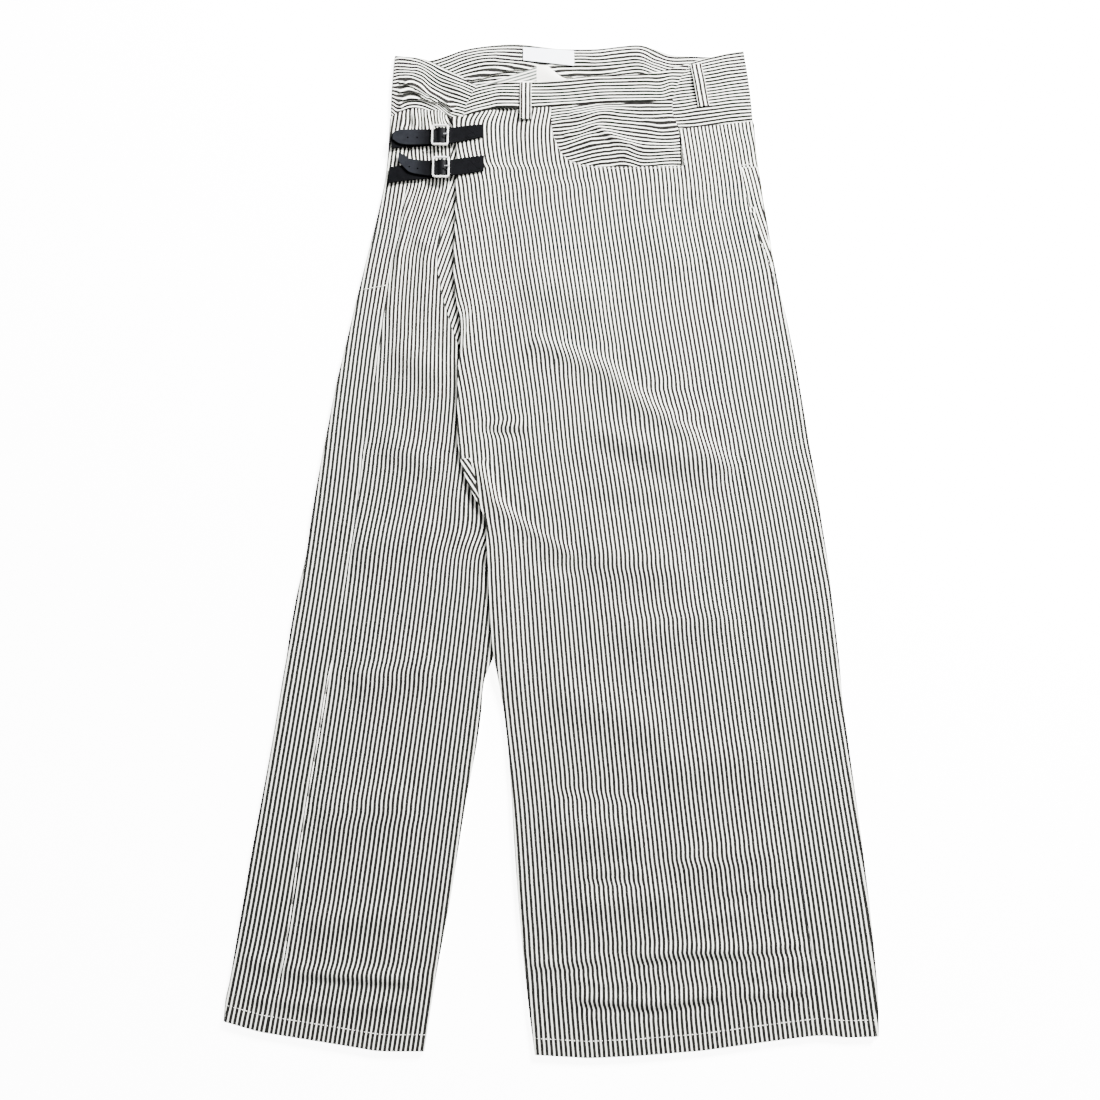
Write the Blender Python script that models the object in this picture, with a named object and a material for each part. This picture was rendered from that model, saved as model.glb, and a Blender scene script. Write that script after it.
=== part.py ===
"""Wide-leg wrap trousers in striped cloth, lying flat with the front side up.

The origin is on the surface they lie on, under the middle of the garment. +X is the wearer's
left, +Y runs from the hems to the waist and +Z is up. All sizes below are in millimetres.
"""

import math

import bmesh
import bpy
import numpy as np

MM = 0.001

# Cloth and leather
CLOTH = 1.2
HALF = CLOTH / 2
SEAM_GAP = 0.3
LEATHER = 1.4
LABEL = 1.0

# Heights of the middle of each layer of cloth
BACK_LAYER = HALF
FRONT_LAYER = 3.0
TUCK_LAYER = 4.5
TOP_LAYER = 6.0
FOLD_TAIL = 1.5
FOLD_RADIUS = (FRONT_LAYER - BACK_LAYER) / 2
FOLD_EASE = 0.8

# Where the legs part, and where the front seam meets the crotch
CROTCH_Y = 142.0
FORK_Y = -165.0
FORK_EASE = 50.0
OVERLAP = 7.0
TUCK_DEPTH = 34.0
WAIST_Y = 430.0
HEM_Y = -510.0
TURN_Y = CROTCH_Y - 10.0
TUCK_END_Y = CROTCH_Y + 6.0
LEAST_TUCK = 4.0
LEAST_FOLD = 2.0

# The seam between the back panels, at the crotch and at the waist
CROTCH_X = -88.0
CENTRE_X = -2.0
BLEND = 20.0

# How the left front panel and the bands climb over the layers below them
CLIMB_START = 3.0
CLIMB = 26.0
FRONT_SEAM_STRIP = 14.0
WRAP_RISE = 1.6
BAND_RISE = 1.4
WRAP_SIDE_X = -172.0
WRAP_EDGE_X = -94.0
LEFT_FOLD_X = 216.0
SIDE_SEAM_X = 130.0
INSIDE_SHOWS_Y = 482.0

# Belt loops: both ends of each, on the panel and on the band
LOOP_WIDTH = 12.0
LOOP_LIFT = 0.7
FRONT_LOOP = ((-27, 423), (-27, 468))
SIDE_LOOP = ((167, 439), (160, 492))

# Straps and buckles
WIRE = 1.0
BAR_WIRE = 0.8
ANCHOR_Z = 6.0
STRAP_Z = ANCHOR_Z + LEATHER + SEAM_GAP
BAR_Z = ANCHOR_Z + LEATHER / 2 + SEAM_GAP + BAR_WIRE
FRAME_Z = STRAP_Z + LEATHER / 2 + SEAM_GAP + WIRE
STRAP_RISE = BAR_Z + BAR_WIRE + SEAM_GAP + LEATHER / 2 - STRAP_Z
BUCKLE_WIDTH = 19.0
BUCKLE_HEIGHT = 24.5
BUCKLE_CORNER = 2.2
BAR_BOW = 1.2
STRAP_CLIMB = 5.6
TONGUE_WIRE = 0.7
TONGUE_REACH = 4.6
UPPER_BUCKLE = (-118.9, 400.3)
LOWER_BUCKLE = (-117.0, 361.4)


def table(names, *rows):
    """A table with named columns, each one an array."""
    columns = zip(*rows)
    return {name: np.array(column, float) for name, column in zip(names.split(), columns)}


# Left leg, wide: the outer fold, the side seam on the front and the inner edge at each height
LEFT_LEG = table(
    "y outer seam inner",
    (450, 220, 136, -112),
    (415, 220, 140, -105),
    (390, 221, 142, -101),
    (367, 222.5, 144, -100),
    (348, 224, 147, -101),
    (320, 226, 152, -101),
    (289, 229, 158, -101),
    (225, 236, 167, -100),
    (188, 242, 173, -94),
    (172, 244, 175, -91),
    (152, 247, 177, -93),
    (97, 253, 185, -94),
    (39, 259, 192, -91),
    (15, 262, 194, -85),
    (-13, 264, 196, -69),
    (-69, 269, 200, -62),
    (-110, 271, 204, -59),
    (-165, 274, 208, -54),
    (-205, 275, 212, -46),
    (-260, 279, 216, -39),
    (-343, 285, 224, -33),
    (-421, 289, 235, -26),
    (-472, 290, 238, -20),
    (-520, 288, 239, -12),
)

# Right leg, narrower: the same lines, with the front seam as its inner edge above the crotch
RIGHT_LEG = table(
    "y outer seam inner",
    (450, -174, -151, -105),
    (414, -174, -151, -107),
    (349, -177, -153, -108),
    (304, -184, -159, -113),
    (252, -194, -166, -119),
    (220, -200, -170, -114),
    (198, -204, -172, -108),
    (175, -208, -174, -101),
    (142, -214, -178, -90),
    (120, -218, -180, -87),
    (68, -225, -186, -85),
    (39, -229, -188, -84),
    (15, -232, -190, -77),
    (-13, -235, -192, -62),
    (-69, -240, -197, -55),
    (-110, -247, -202, -52),
    (-148, -251, -207, -49),
    (-160, -252, -208, -53),
    (-176, -254, -211, -60),
    (-233, -260, -218, -67),
    (-289, -267, -225, -77),
    (-343, -274, -231, -85),
    (-396, -280, -236, -93),
    (-448, -286, -242, -102),
    (-498, -290.3, -250, -110),
    (-520, -289.6, -252, -113),
)

# The seam where the waistband joins the panels, from the right hip to the side seam
WAIST_SEAM = table(
    "x y",
    (-190, 424),
    (-174, 427),
    (-162, 434),
    (-147, 438),
    (-133, 435),
    (-120, 435),
    (-107, 424),
    (-94, 426),
    (-59, 435),
    (-17, 438),
    (52, 443),
    (105, 445),
    (134, 447),
)

# The scooped edge of the front pocket, from the waistband down and across to the side seam.
# base is where the cloth's lengthwise threads through these points meet the top of the leg.
SCOOP = table(
    "x y base",
    (0.0, 439.2, 1),
    (0.8, 421, 8),
    (3, 406, 17),
    (7, 394, 27),
    (13, 381, 39),
    (25, 371.5, 55),
    (44, 367, 75),
    (72, 365.5, 99),
    (104, 366, 125),
    (143.5, 367, 152),
)

# Where the lower edge of the hems runs
LEFT_HEM = table(
    "x y",
    (-12, -518),
    (35, -520.5),
    (80, -518.5),
    (133, -514.5),
    (204, -505.5),
    (240, -501.5),
    (262, -503.5),
    (288, -503),
)
RIGHT_HEM = table(
    "x y",
    (-288, -491),
    (-258, -499),
    (-204, -507),
    (-151, -515),
    (-113, -515),
)

# The tall waistband: its lower, middle and upper point at each place along its three lengths
LEFT_SIDE_BAND = table(
    "x_low y_low x_mid y_mid x_top y_top",
    (140.2, 411.9, 134.0, 448.0, 153.9, 494.5),
    (164.0, 414.9, 164.0, 458.0, 172.0, 500.5),
    (193.0, 418.5, 192.0, 463.0, 195.0, 506.5),
    (218.2, 421.6, 216.2, 466.0, 212.2, 509.5),
)
LEFT_SIDE_SLOPE = 0.124
BACK_BAND = table(
    "x_low y_low x_mid y_mid x_top y_top",
    (218.2, 421.6, 216.2, 466.0, 212.2, 509.5),
    (183.0, 426.0, 183.0, 465.0, 183.0, 504.0),
    (133.0, 434.0, 133.0, 470.0, 133.0, 506.5),
    (99.0, 438.0, 99.0, 478.0, 99.0, 519.0),
    (55.0, 440.0, 55.0, 477.0, 55.0, 514.3),
    (10.0, 441.0, 10.0, 478.0, 10.0, 514.3),
    (-27.0, 441.0, -27.0, 480.0, -27.0, 519.6),
    (-56.0, 440.0, -56.0, 480.0, -56.0, 519.6),
    (-96.0, 436.0, -96.0, 474.0, -96.0, 513.0),
    (-133.0, 431.0, -133.0, 466.0, -133.0, 499.5),
    (-172.2, 427.5, -172.2, 465.0, -170.5, 503.6),
)
RIGHT_SIDE_BAND = table(
    "x_low x_mid y_mid x_top y_top",
    (-172.2, -172.2, 465.0, -170.5, 503.6),
    (-147.0, -146.0, 468.0, -137.0, 498.3),
    (-127.0, -122.0, 460.0, -111.0, 484.0),
    (-107.0, -98.0, 446.0, -94.0, 473.0),
    (-95.2, -90.6, 443.0, -81.0, 464.1),
)

# The narrow front band, from the wrap's edge to the side seam
FRONT_BAND = table(
    "x_low x_top y_top",
    (-94.8, -80.6, 464.0),
    (-80.0, -69.4, 465.0),
    (-59.0, -48.0, 468.0),
    (-32.0, -28.0, 470.6),
    (0.0, 3.0, 471.0),
    (35.0, 40.0, 475.5),
    (72.0, 79.0, 478.5),
    (105.0, 120.0, 483.5),
    (133.6, 153.4, 494.3),
)

FRONT_BAND_TOP = {"x": FRONT_BAND["x_top"], "y": FRONT_BAND["y_top"]}

# The upper edge of the facing that stands up inside the waist, and the hump at its end
INSIDE_TOP = table(
    "x y",
    (-74, 467.5),
    (-57, 474),
    (-36, 482),
    (-22, 487.5),
    (-12, 491.5),
    (-4, 491),
    (3, 485),
    (10.5, 478),
    (17, 475),
)
INSIDE_HUMP = 1.6
INSIDE_HUMP_X = -3.0
INSIDE_HUMP_REACH = 24.0

# Ridges that the cloth of the front rises in: both ends, the width and the height of each
HIP_FOLDS = table(
    "x1 y1 x2 y2 width height",
    (-164, 424, -162, 345, 9, 1.2),
    (-147, 436, -148, 352, 8, 1.3),
    (-134, 434, -136, 340, 8, 1.2),
    (-121, 433, -124, 330, 8, 1.3),
    (-112, 420, -113, 300, 7, 1.0),
    (-154, 318, -165, 240, 9, 1.6),
    (-140, 330, -132, 255, 9, 1.4),
    (-126, 300, -134, 215, 9, 1.1),
    (-206, -452, -120, -468, 16, 0.8),
    (-150, 20, -120, -30, 22, 0.7),
)
LEFT_FOLDS = table(
    "x1 y1 x2 y2 width height",
    (-62, 82, -8, 104, 14, 1.1),
    (92, 115, 186, 50, 24, 1.6),
    (88, 46, 166, 26, 22, 1.4),
    (-60, -20, 30, 20, 22, 1.0),
    (-20, -250, 90, -262, 26, 0.8),
    (12, -436, 226, -432, 20, 1.2),
    (28, -476, 235, -468, 18, 1.0),
    (-86, 36, -69, -10, 9, -1.2),
    (196, 372, 214, 262, 10, 1.5),
)
FACING_FOLDS = table(
    "x1 y1 x2 y2 width height",
    (10, 424, 70, 432, 14, 1.0),
    (30, 396, 100, 408, 18, 1.5),
    (60, 376, 132, 390, 14, 1.1),
)
BAND_FOLDS = table(
    "x1 y1 x2 y2 width height",
    (-172, 446, -136, 468, 10, 1.6),
    (-168, 436, -118, 452, 9, 1.4),
    (-140, 486, -96, 456, 14, 1.2),
    (-60, 455, 0, 452, 12, 0.8),
    (15, 462, 60, 466, 12, 0.9),
    (146, 466, 205, 482, 14, 1.0),
    (160, 432, 212, 444, 12, 1.0),
)
INSIDE_FOLDS = table(
    "x1 y1 x2 y2 width height",
    (-84, 498, -52, 506, 14, 1.6),
    (46, 494, 74, 500, 14, 1.4),
    (84, 500, 120, 506, 16, 1.8),
    (150, 494, 176, 498, 14, 1.2),
)

# Straps: lower and upper edge at each place along them, from the sewn end to the tip
UPPER_STRAP = table(
    "x low high",
    (-72.9, 399.2, 414.3),
    (-93.0, 394.3, 412.3),
    (-109.0, 391.4, 409.6),
    (-119.0, 391.3, 409.3),
    (-128.0, 390.2, 408.2),
    (-150.0, 389.6, 408.0),
    (-162.0, 391.0, 407.5),
    (-170.0, 396.5, 404.0),
)
LOWER_STRAP = table(
    "x low high",
    (-71.2, 358.1, 376.2),
    (-90.0, 354.5, 373.8),
    (-108.6, 352.3, 370.6),
    (-117.0, 352.4, 370.4),
    (-126.0, 351.6, 370.0),
    (-148.0, 355.5, 371.5),
    (-156.0, 361.5, 376.5),
    (-163.0, 370.0, 379.5),
)
UPPER_ANCHOR = table("x low high", (-171.5, 386.5, 404.0), (-150.0, 388.0, 406.0),
                     (-112.5, 390.7, 409.8))
LOWER_ANCHOR = table("x low high", (-172.5, 344.5, 363.0), (-150.0, 348.0, 366.5),
                     (-111.5, 351.4, 370.8))

# The blank label: its lower and upper edge, and its ends
LABEL_PLACE = table("x low high", (-30.0, 499.0, 515.5), (26.0, 492.0, 511.0))

ECRU = (0.84, 0.83, 0.76)
PALE = (0.80, 0.79, 0.73)
BLACK = (0.012, 0.013, 0.015)
SILVER = (0.80, 0.80, 0.79)
WHITE = (0.86, 0.87, 0.90)


def smooth(value):
    """0 below 0, 1 above 1 and a soft step between them."""
    value = np.clip(value, 0.0, 1.0)
    return value * value * (3.0 - 2.0 * value)


def read(rows, name, at):
    """One column of a table at any value of its first column, along a smooth curve."""
    keys = list(rows)
    key, values = rows[keys[0]], rows[name]
    if key[0] > key[-1]:
        key, values = key[::-1], values[::-1]
    slopes = np.gradient(values, key)
    at = np.clip(at, key[0], key[-1])
    i = np.clip(np.searchsorted(key, at) - 1, 0, len(key) - 2)
    span = key[i + 1] - key[i]
    t = (at - key[i]) / span
    start = (1 + 2 * t) * (1 - t) ** 2 * values[i] + t * (1 - t) ** 2 * span * slopes[i]
    end = t * t * (3 - 2 * t) * values[i + 1] + t * t * (t - 1) * span * slopes[i + 1]
    return start + end


def line(rows, name, at):
    """One column of a table at any value of its first column, along straight lines."""
    key = rows[list(rows)[0]]
    order = np.argsort(key)
    return np.interp(at, key[order], rows[name][order])


def relief(folds, x, y):
    """How far the folds of a table lift the cloth at a point."""
    lift = 0.0
    for x1, y1, x2, y2, width, height in zip(*folds.values()):
        dx, dy = x2 - x1, y2 - y1
        share = ((x - x1) * dx + (y - y1) * dy) / (dx * dx + dy * dy)
        nearest = np.clip(share, 0.0, 1.0)
        off = np.hypot(x - x1 - nearest * dx, y - y1 - nearest * dy)
        fade = smooth(4.0 * (0.5 - np.abs(share - 0.5)) + 0.3)
        lift = lift + height * np.exp(-((1.6 * off / width) ** 2)) * fade
    return lift


def faded(x, start, end, start_reach=8.0, end_reach=8.0):
    """0 at both edges of a panel, and 1 beyond the reach of each."""
    return smooth((x - start) / start_reach) * smooth((end - x) / end_reach)


def tuck_depth(y):
    """How far the hidden fold of the wrap lies behind its edge."""
    return np.maximum(TUCK_DEPTH * (y - CROTCH_Y) / (WAIST_Y - CROTCH_Y), LEAST_TUCK)


def left_height(x, y, edge):
    """Height of the left front panel: it climbs over the tuck and over the right leg."""
    flat = (tuck_depth(y) if y > CROTCH_Y else OVERLAP) + CLIMB_START
    climb = 1.0 - smooth((x - edge - flat) / CLIMB)
    parted = smooth((y - FORK_Y + FORK_EASE) / FORK_EASE)
    return FRONT_LAYER + (TOP_LAYER - FRONT_LAYER) * climb * parted


def rolled_edge(edge, way, top, under, turns=4):
    """Section of a fold: half a turn down from the top layer, then a short tail under it."""
    radius = (top - under) / 2
    centre = edge + way * (HALF + radius)
    angles = np.linspace(math.pi / 2, -math.pi / 2, turns + 1)
    points = [(centre - way * radius * math.cos(a), under + radius + radius * math.sin(a))
              for a in angles]
    return points + [(centre + way * FOLD_TAIL, under)]


LEG_STATIONS = np.concatenate([
    np.linspace(320, 160, 6),
    (CROTCH_Y, 120),
    np.linspace(85, -140, 7),
    (FORK_Y, -182, -198, -216),
    np.linspace(-250, -455, 7),
])
LEG_TOP, LEG_END = LEG_STATIONS[0], LEG_STATIONS[-1]


def panel_rows(waist_steps):
    """The rows of a leg panel, from the waist down: what each follows, and how closely."""
    rows = [("waist", share) for share in np.linspace(1.0, 0.0, waist_steps + 1)[:-1]]
    rows += [("leg", y) for y in LEG_STATIONS]
    return rows + [("hem", 0.5), ("hem", 1.0)]


def level(kind, value, waist_y, hem_y):
    """Where a row runs at one place: across the leg, or bent towards the waist or the hem."""
    if kind == "waist":
        return LEG_TOP + value * (waist_y - LEG_TOP)
    if kind == "hem":
        return LEG_END + value * (hem_y - LEG_END)
    return value


def front_right_grid(columns=11, turned=5):
    """Right front panel: side seam to front seam, and round the inner edge below the crotch."""
    grid = []
    for kind, value in panel_rows(4):
        y = level(kind, value, WAIST_Y, HEM_Y)
        seam = read(RIGHT_LEG, "seam", y) + SEAM_GAP / 2
        inner = read(RIGHT_LEG, "inner", y)
        if y < TURN_Y:
            edge = rolled_edge(inner, -1, FRONT_LAYER, BACK_LAYER, turns=turned - 1)
            section = [(x, None) for x in np.linspace(seam, edge[0][0], columns)] + edge[1:]
        else:
            end = inner - SEAM_GAP / 2
            start = end - FRONT_SEAM_STRIP
            section = [(x, None) for x in np.linspace(seam, start, columns)]
            section += [(x, None) for x in np.linspace(start, end, turned + 1)[1:]]
        row = []
        for x, z in section:
            row_y = level(kind, value, line(WAIST_SEAM, "y", x) - SEAM_GAP, line(RIGHT_HEM, "y", x))
            if z is None:
                calm = faded(x, seam, inner, 6.0)
                z = FRONT_LAYER + relief(HIP_FOLDS, x, row_y) * calm
            row.append((x, row_y, z))
        grid.append(row)
    return grid


def left_top_edge():
    """Top edge of the left front panel along the waistband and the pocket's scoop.

    Each point also has the x at which its thread meets the top of the leg.
    """
    first = read(LEFT_LEG, "inner", WAIST_Y) + HALF + FOLD_EASE
    base = read(LEFT_LEG, "inner", LEG_TOP) + HALF + FOLD_EASE
    points = [(x, line(WAIST_SEAM, "y", x) - SEAM_GAP, base_x)
              for x, base_x in zip(np.linspace(first, -14, 8), np.linspace(base, -11, 8))]
    points += [(x - SEAM_GAP, y - SEAM_GAP, base_x) for x, y, base_x in zip(*SCOOP.values())]
    return np.array(points)


def front_left_grid():
    """Left front panel: side seam to the wrap's edge or the inner leg, and round that edge."""
    top_edge = left_top_edge()
    base = top_edge[:, 2]
    base_share = (base - base[0]) / (base[-1] - base[0])
    even_share = np.linspace(0.0, 1.0, len(base))
    grid = []
    for kind, value in panel_rows(5):
        y = level(kind, value, WAIST_Y, HEM_Y)
        parted = smooth((y - FORK_Y + FORK_EASE) / FORK_EASE)
        top = FRONT_LAYER + (TOP_LAYER - FRONT_LAYER) * parted
        under = BACK_LAYER + (TUCK_LAYER - BACK_LAYER) * parted
        inner = read(LEFT_LEG, "inner", y)
        edge = rolled_edge(inner, 1, top, under)
        seam = read(LEFT_LEG, "seam", y) - SEAM_GAP / 2
        mix = smooth((LEG_TOP - y) / 150.0)
        shares = base_share + (even_share - base_share) * mix
        xs = edge[0][0] + (seam - edge[0][0]) * shares
        ys = [level(kind, value, 0.0, line(LEFT_HEM, "y", x)) for x in xs]
        if kind == "waist":
            xs = base + value * (top_edge[:, 0] - base)
            ys = LEG_TOP + value * (top_edge[:, 1] - LEG_TOP)
            xs[0] = edge[0][0]
            xs[-1] = read(LEFT_LEG, "seam", ys[-1]) - SEAM_GAP / 2
        row = []
        for x, row_y in zip(xs[:0:-1], ys[:0:-1]):
            calm = faded(x, inner, seam, 10.0)
            z = left_height(x, row_y, inner) + relief(LEFT_FOLDS, x, row_y) * calm
            row.append((x, row_y, z))
        row += [(x, ys[0], z) for x, z in edge]
        grid.append(row)
    return grid


def tuck_grid():
    """The part of the left front that is folded under: back to the hidden fold, then forward."""
    left_edge = np.array([row[-1] for row in front_left_grid()])[::-1]
    radius = (TUCK_LAYER - FRONT_LAYER) / 2
    grid = []
    for seam_x, y, _ in [row[-1] for row in front_right_grid()]:
        if y < TUCK_END_Y:
            break
        start = np.interp(y, left_edge[:, 1], left_edge[:, 0]) + 4 * SEAM_GAP
        back = max(read(LEFT_LEG, "inner", y) + tuck_depth(y), start + LEAST_FOLD)
        section = [(x, TUCK_LAYER) for x in np.linspace(start, back, 4)]
        section += [(back + radius * math.sin(a), FRONT_LAYER + radius + radius * math.cos(a))
                    for a in np.linspace(0, math.pi, 5)[1:]]
        section += [(x, FRONT_LAYER) for x in np.linspace(back, seam_x + SEAM_GAP, 6)[1:]]
        grid.append([(x, y, z) for x, z in section])
    return grid


def centre_back(y):
    """The seam between the two back panels above the crotch."""
    share = smooth((y - CROTCH_Y) / (WAIST_Y - CROTCH_Y))
    return CROTCH_X + (CENTRE_X - CROTCH_X) * share


def back_grid(leg, side, hem, inner_at):
    """A back panel: from its inner edge flat to the outer fold, then over to the side seam.

    side is 1 for the left leg and -1 for the right one.
    """
    folds = LEFT_FOLDS if side > 0 else HIP_FOLDS
    grid = []
    for kind, value in panel_rows(4):
        y = level(kind, value, WAIST_Y, HEM_Y)
        outer = read(leg, "outer", y) - side * (HALF + FOLD_RADIUS)
        seam = read(leg, "seam", y) + side * SEAM_GAP / 2
        section = [(x, BACK_LAYER) for x in np.linspace(inner_at(y), outer, 6)]
        section += [(outer + side * FOLD_RADIUS * math.sin(a),
                     BACK_LAYER + FOLD_RADIUS - FOLD_RADIUS * math.cos(a))
                    for a in np.linspace(0, math.pi, 6)[1:]]
        section += [(x, None) for x in np.linspace(outer, seam, 5)[1:]]
        row = []
        for x, z in section:
            over = z is None or z > FRONT_LAYER - 0.1
            row_y = level(kind, value, back_top(x, side, over), line(hem, "y", x))
            if z is None:
                if side > 0:
                    shift = read(leg, "seam", row_y) - read(leg, "seam", y)
                    x += shift * (x - outer) / (seam - outer)
                calm = faded(x, *sorted((seam, outer)))
                z = FRONT_LAYER + relief(folds, x, row_y) * calm
            row.append((x, row_y, z))
        grid.append(row)
    return grid


def left_side_low(x):
    """Lower edge of the tall band on the left side."""
    start = LEFT_SIDE_BAND["x_low"][0]
    return LEFT_SIDE_BAND["y_low"][0] + LEFT_SIDE_SLOPE * (x - start)


def back_top(x, side, over):
    """Where a back panel ends under the waistband, on the front side or on the back."""
    if over and side > 0:
        return left_side_low(x) - SEAM_GAP
    if over:
        return line(WAIST_SEAM, "y", x) - SEAM_GAP
    return line(BACK_BAND, "y_low", x) - 3 * SEAM_GAP


def back_left_grid():
    def inner(y):
        below = read(LEFT_LEG, "inner", y) + HALF + FOLD_RADIUS + FOLD_TAIL + SEAM_GAP
        beside = read(RIGHT_LEG, "inner", y) + FOLD_EASE
        above = centre_back(y) + SEAM_GAP / 2
        leg = max(below, beside) if y > FORK_Y - BLEND else below
        return leg + (above - leg) * smooth((y - CROTCH_Y - 2) / BLEND)

    return back_grid(LEFT_LEG, 1, LEFT_HEM, inner)


def back_right_grid():
    def inner(y):
        below = read(RIGHT_LEG, "inner", y) - HALF - FOLD_RADIUS - FOLD_TAIL - SEAM_GAP
        above = centre_back(y) - SEAM_GAP / 2
        return below + (above - below) * smooth((y - CROTCH_Y - 2) / BLEND)

    return back_grid(RIGHT_LEG, -1, RIGHT_HEM, inner)


def through(low, mid, high, share):
    """A smooth line through three points, at a share of its way."""
    bend = 2.0 * (low - 2.0 * mid + high)
    return low + (high - low - bend) * share + bend * share * share


def band_point(rows, index, share):
    """A point of the tall band, at a share of its height from the lower edge."""
    x = through(rows["x_low"][index], rows["x_mid"][index], rows["x_top"][index], share)
    y = through(rows["y_low"][index], rows["y_mid"][index], rows["y_top"][index], share)
    return x, y


def spread(rows, steps):
    """A table with more rows: points read between its rows, along smooth curves."""
    count = len(rows["x_low"])
    places = np.linspace(0.0, count - 1.0, (count - 1) * steps + 1)
    table_of = {"place": np.arange(count, dtype=float), **rows}
    return {name: read(table_of, name, places) for name in rows}


def right_side_rows():
    """The tall band on the right front: its lower edge keeps to the panels' top edges."""
    side = [x for x, _, z in back_right_grid()[0] if z > FRONT_LAYER - 0.1]
    front = [x for x, _, _ in front_right_grid()[0]]
    x_low = np.array(side + front + [-100.0, -95.2])
    rows = {name: read(RIGHT_SIDE_BAND, name, x_low)
            for name in ("x_mid", "y_mid", "x_top", "y_top")}
    rows["x_low"] = x_low
    rows["y_low"] = line(WAIST_SEAM, "y", x_low)
    return rows


def inside_height(x, y):
    """Height of the waistband's inner face at the back."""
    return BACK_LAYER + relief(INSIDE_FOLDS, x, y) * smooth((y - INSIDE_SHOWS_Y) / 12.0)


def left_side_height(x, y):
    return FRONT_LAYER + relief(BAND_FOLDS, x, y) * smooth((LEFT_FOLD_X - x) / 8.0)


def right_side_height(x, y):
    wrapped = WRAP_RISE * smooth((x - WRAP_EDGE_X + 31.0) / 30.0)
    return FRONT_LAYER + wrapped + relief(BAND_FOLDS, x, y) * smooth((x - WRAP_SIDE_X) / 8.0)


def waistband_grid():
    """The tall band: from the side seam round the left side, the back and the right side."""
    lengths = (
        (spread(LEFT_SIDE_BAND, 2), left_side_height),
        (spread(BACK_BAND, 2), inside_height),
        (right_side_rows(), right_side_height),
    )
    grid = []
    for rows, height_at in lengths:
        if grid:
            side = 1 if height_at is inside_height else -1
            turn = np.linspace(0, math.pi, 5)[1:-1]
            turn = turn if side > 0 else turn[::-1]
            last = grid[-1]
            for a in turn:
                z = BACK_LAYER + FOLD_RADIUS + FOLD_RADIUS * math.cos(a)
                grid.append([(x + side * FOLD_RADIUS * math.sin(a), y, z) for x, y, _ in last])
        for i in range(len(rows["x_low"])):
            points = [band_point(rows, i, share) for share in np.linspace(0.0, 1.0, 5)]
            grid.append([(x, y, height_at(x, y)) for x, y in points])
    return grid


def front_band_height(x, y):
    """The band's height: over the wrap's layers at its right end, then down to the panel."""
    rise = WRAP_RISE + BAND_RISE * smooth((x - WRAP_EDGE_X) / FRONT_SEAM_STRIP)
    level_down = 1.0 - smooth((x - WRAP_EDGE_X - TUCK_DEPTH) / 50.0)
    folds = relief(BAND_FOLDS, x, y) * smooth((SIDE_SEAM_X - x) / 12.0)
    return FRONT_LAYER + rise * level_down + folds


def front_band_grid():
    """The narrow band: between the crease beside the wrap and the side seam."""
    rows = spread(FRONT_BAND, 2)
    crease = right_side_rows()
    last = len(rows["x_low"]) - 1
    grid = []
    for i, (x_low, x_top, y_top) in enumerate(zip(*rows.values())):
        row = []
        for share in np.linspace(0.0, 1.0, 5):
            low_y = line(WAIST_SEAM, "y", x_low)
            x = x_low + (x_top - x_low) * share
            y = low_y + (y_top - low_y) * share
            if i == 0:
                x, y = band_point(crease, len(crease["x_low"]) - 1, share)
                x += SEAM_GAP
            if i == last:
                x, y = band_point(LEFT_SIDE_BAND, 0, 0.5 + share / 2)
                x -= SEAM_GAP
                y = max(y, low_y)
            row.append((x, y, front_band_height(x, y)))
        grid.append(row)
    return grid


def side_limit(y):
    """The tall band's front edge, which the facing stops short of."""
    points = [band_point(LEFT_SIDE_BAND, 0, share) for share in np.linspace(0.0, 0.5, 9)]
    return np.interp(y, [p[1] for p in points], [p[0] for p in points]) - 2 * SEAM_GAP


def facing_grid():
    """The pocket facing inside the scoop, up to the waistband and across to the side seam."""
    grid = []
    last = SCOOP["x"][-1]
    for x, scoop_y in zip(SCOOP["x"], SCOOP["y"]):
        row = []
        high = line(WAIST_SEAM, "y", x) - SEAM_GAP
        low = min(scoop_y, high - CLOTH)
        for share in np.linspace(0.0, 1.0, 6):
            y = low + (high - low) * share
            place = x
            if x == last:
                place = min(read(LEFT_LEG, "seam", y) - SEAM_GAP, side_limit(y))
            row.append((place, y, FRONT_LAYER + relief(FACING_FOLDS, place, y)))
        grid.append(row)
    return grid


def label_grid():
    """The blank label on the inner face of the band."""
    gap = HALF + 2 * SEAM_GAP + LABEL / 2
    grid = []
    for share in np.linspace(0.0, 1.0, 7):
        x, low, high = (first + (last - first) * share for first, last in LABEL_PLACE.values())
        grid.append([(x, y, inside_height(x, y) + gap) for y in np.linspace(low, high, 4)])
    return grid


def inner_facing_grid():
    """The facing that stands up inside the waist, behind the front band, with a hump in it."""
    grid = []
    for x, top in zip(*INSIDE_TOP.values()):
        front = line(FRONT_BAND_TOP, "y", x) + 2 * SEAM_GAP
        hump = INSIDE_HUMP * smooth(1.0 - abs(x - INSIDE_HUMP_X) / INSIDE_HUMP_REACH)
        row = []
        for share in np.linspace(0.0, 1.0, 5):
            lift = hump * math.sin(math.pi * (0.1 + 0.8 * share))
            row.append((x, front + (top - front) * share, BACK_LAYER + CLOTH + SEAM_GAP + lift))
        grid.append(row)
    return grid


def loop_grid(foot, head, height_at):
    """A belt loop lying over the band, a little proud of it between its sewn ends."""
    foot, head = np.array(foot), np.array(head)
    along = head - foot
    across = np.array([along[1], -along[0]]) / np.hypot(*along) * LOOP_WIDTH / 2
    grid = []
    for share in np.linspace(0.0, 1.0, 9):
        centre = foot + along * share
        lift = HALF + SEAM_GAP + LEATHER / 2 + LOOP_LIFT * math.sin(math.pi * share)
        row = []
        for side in (-1, 0, 1):
            x, y = centre + across * side
            row.append((x, y, height_at(x, y) + lift))
        grid.append(row)
    return grid


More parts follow.
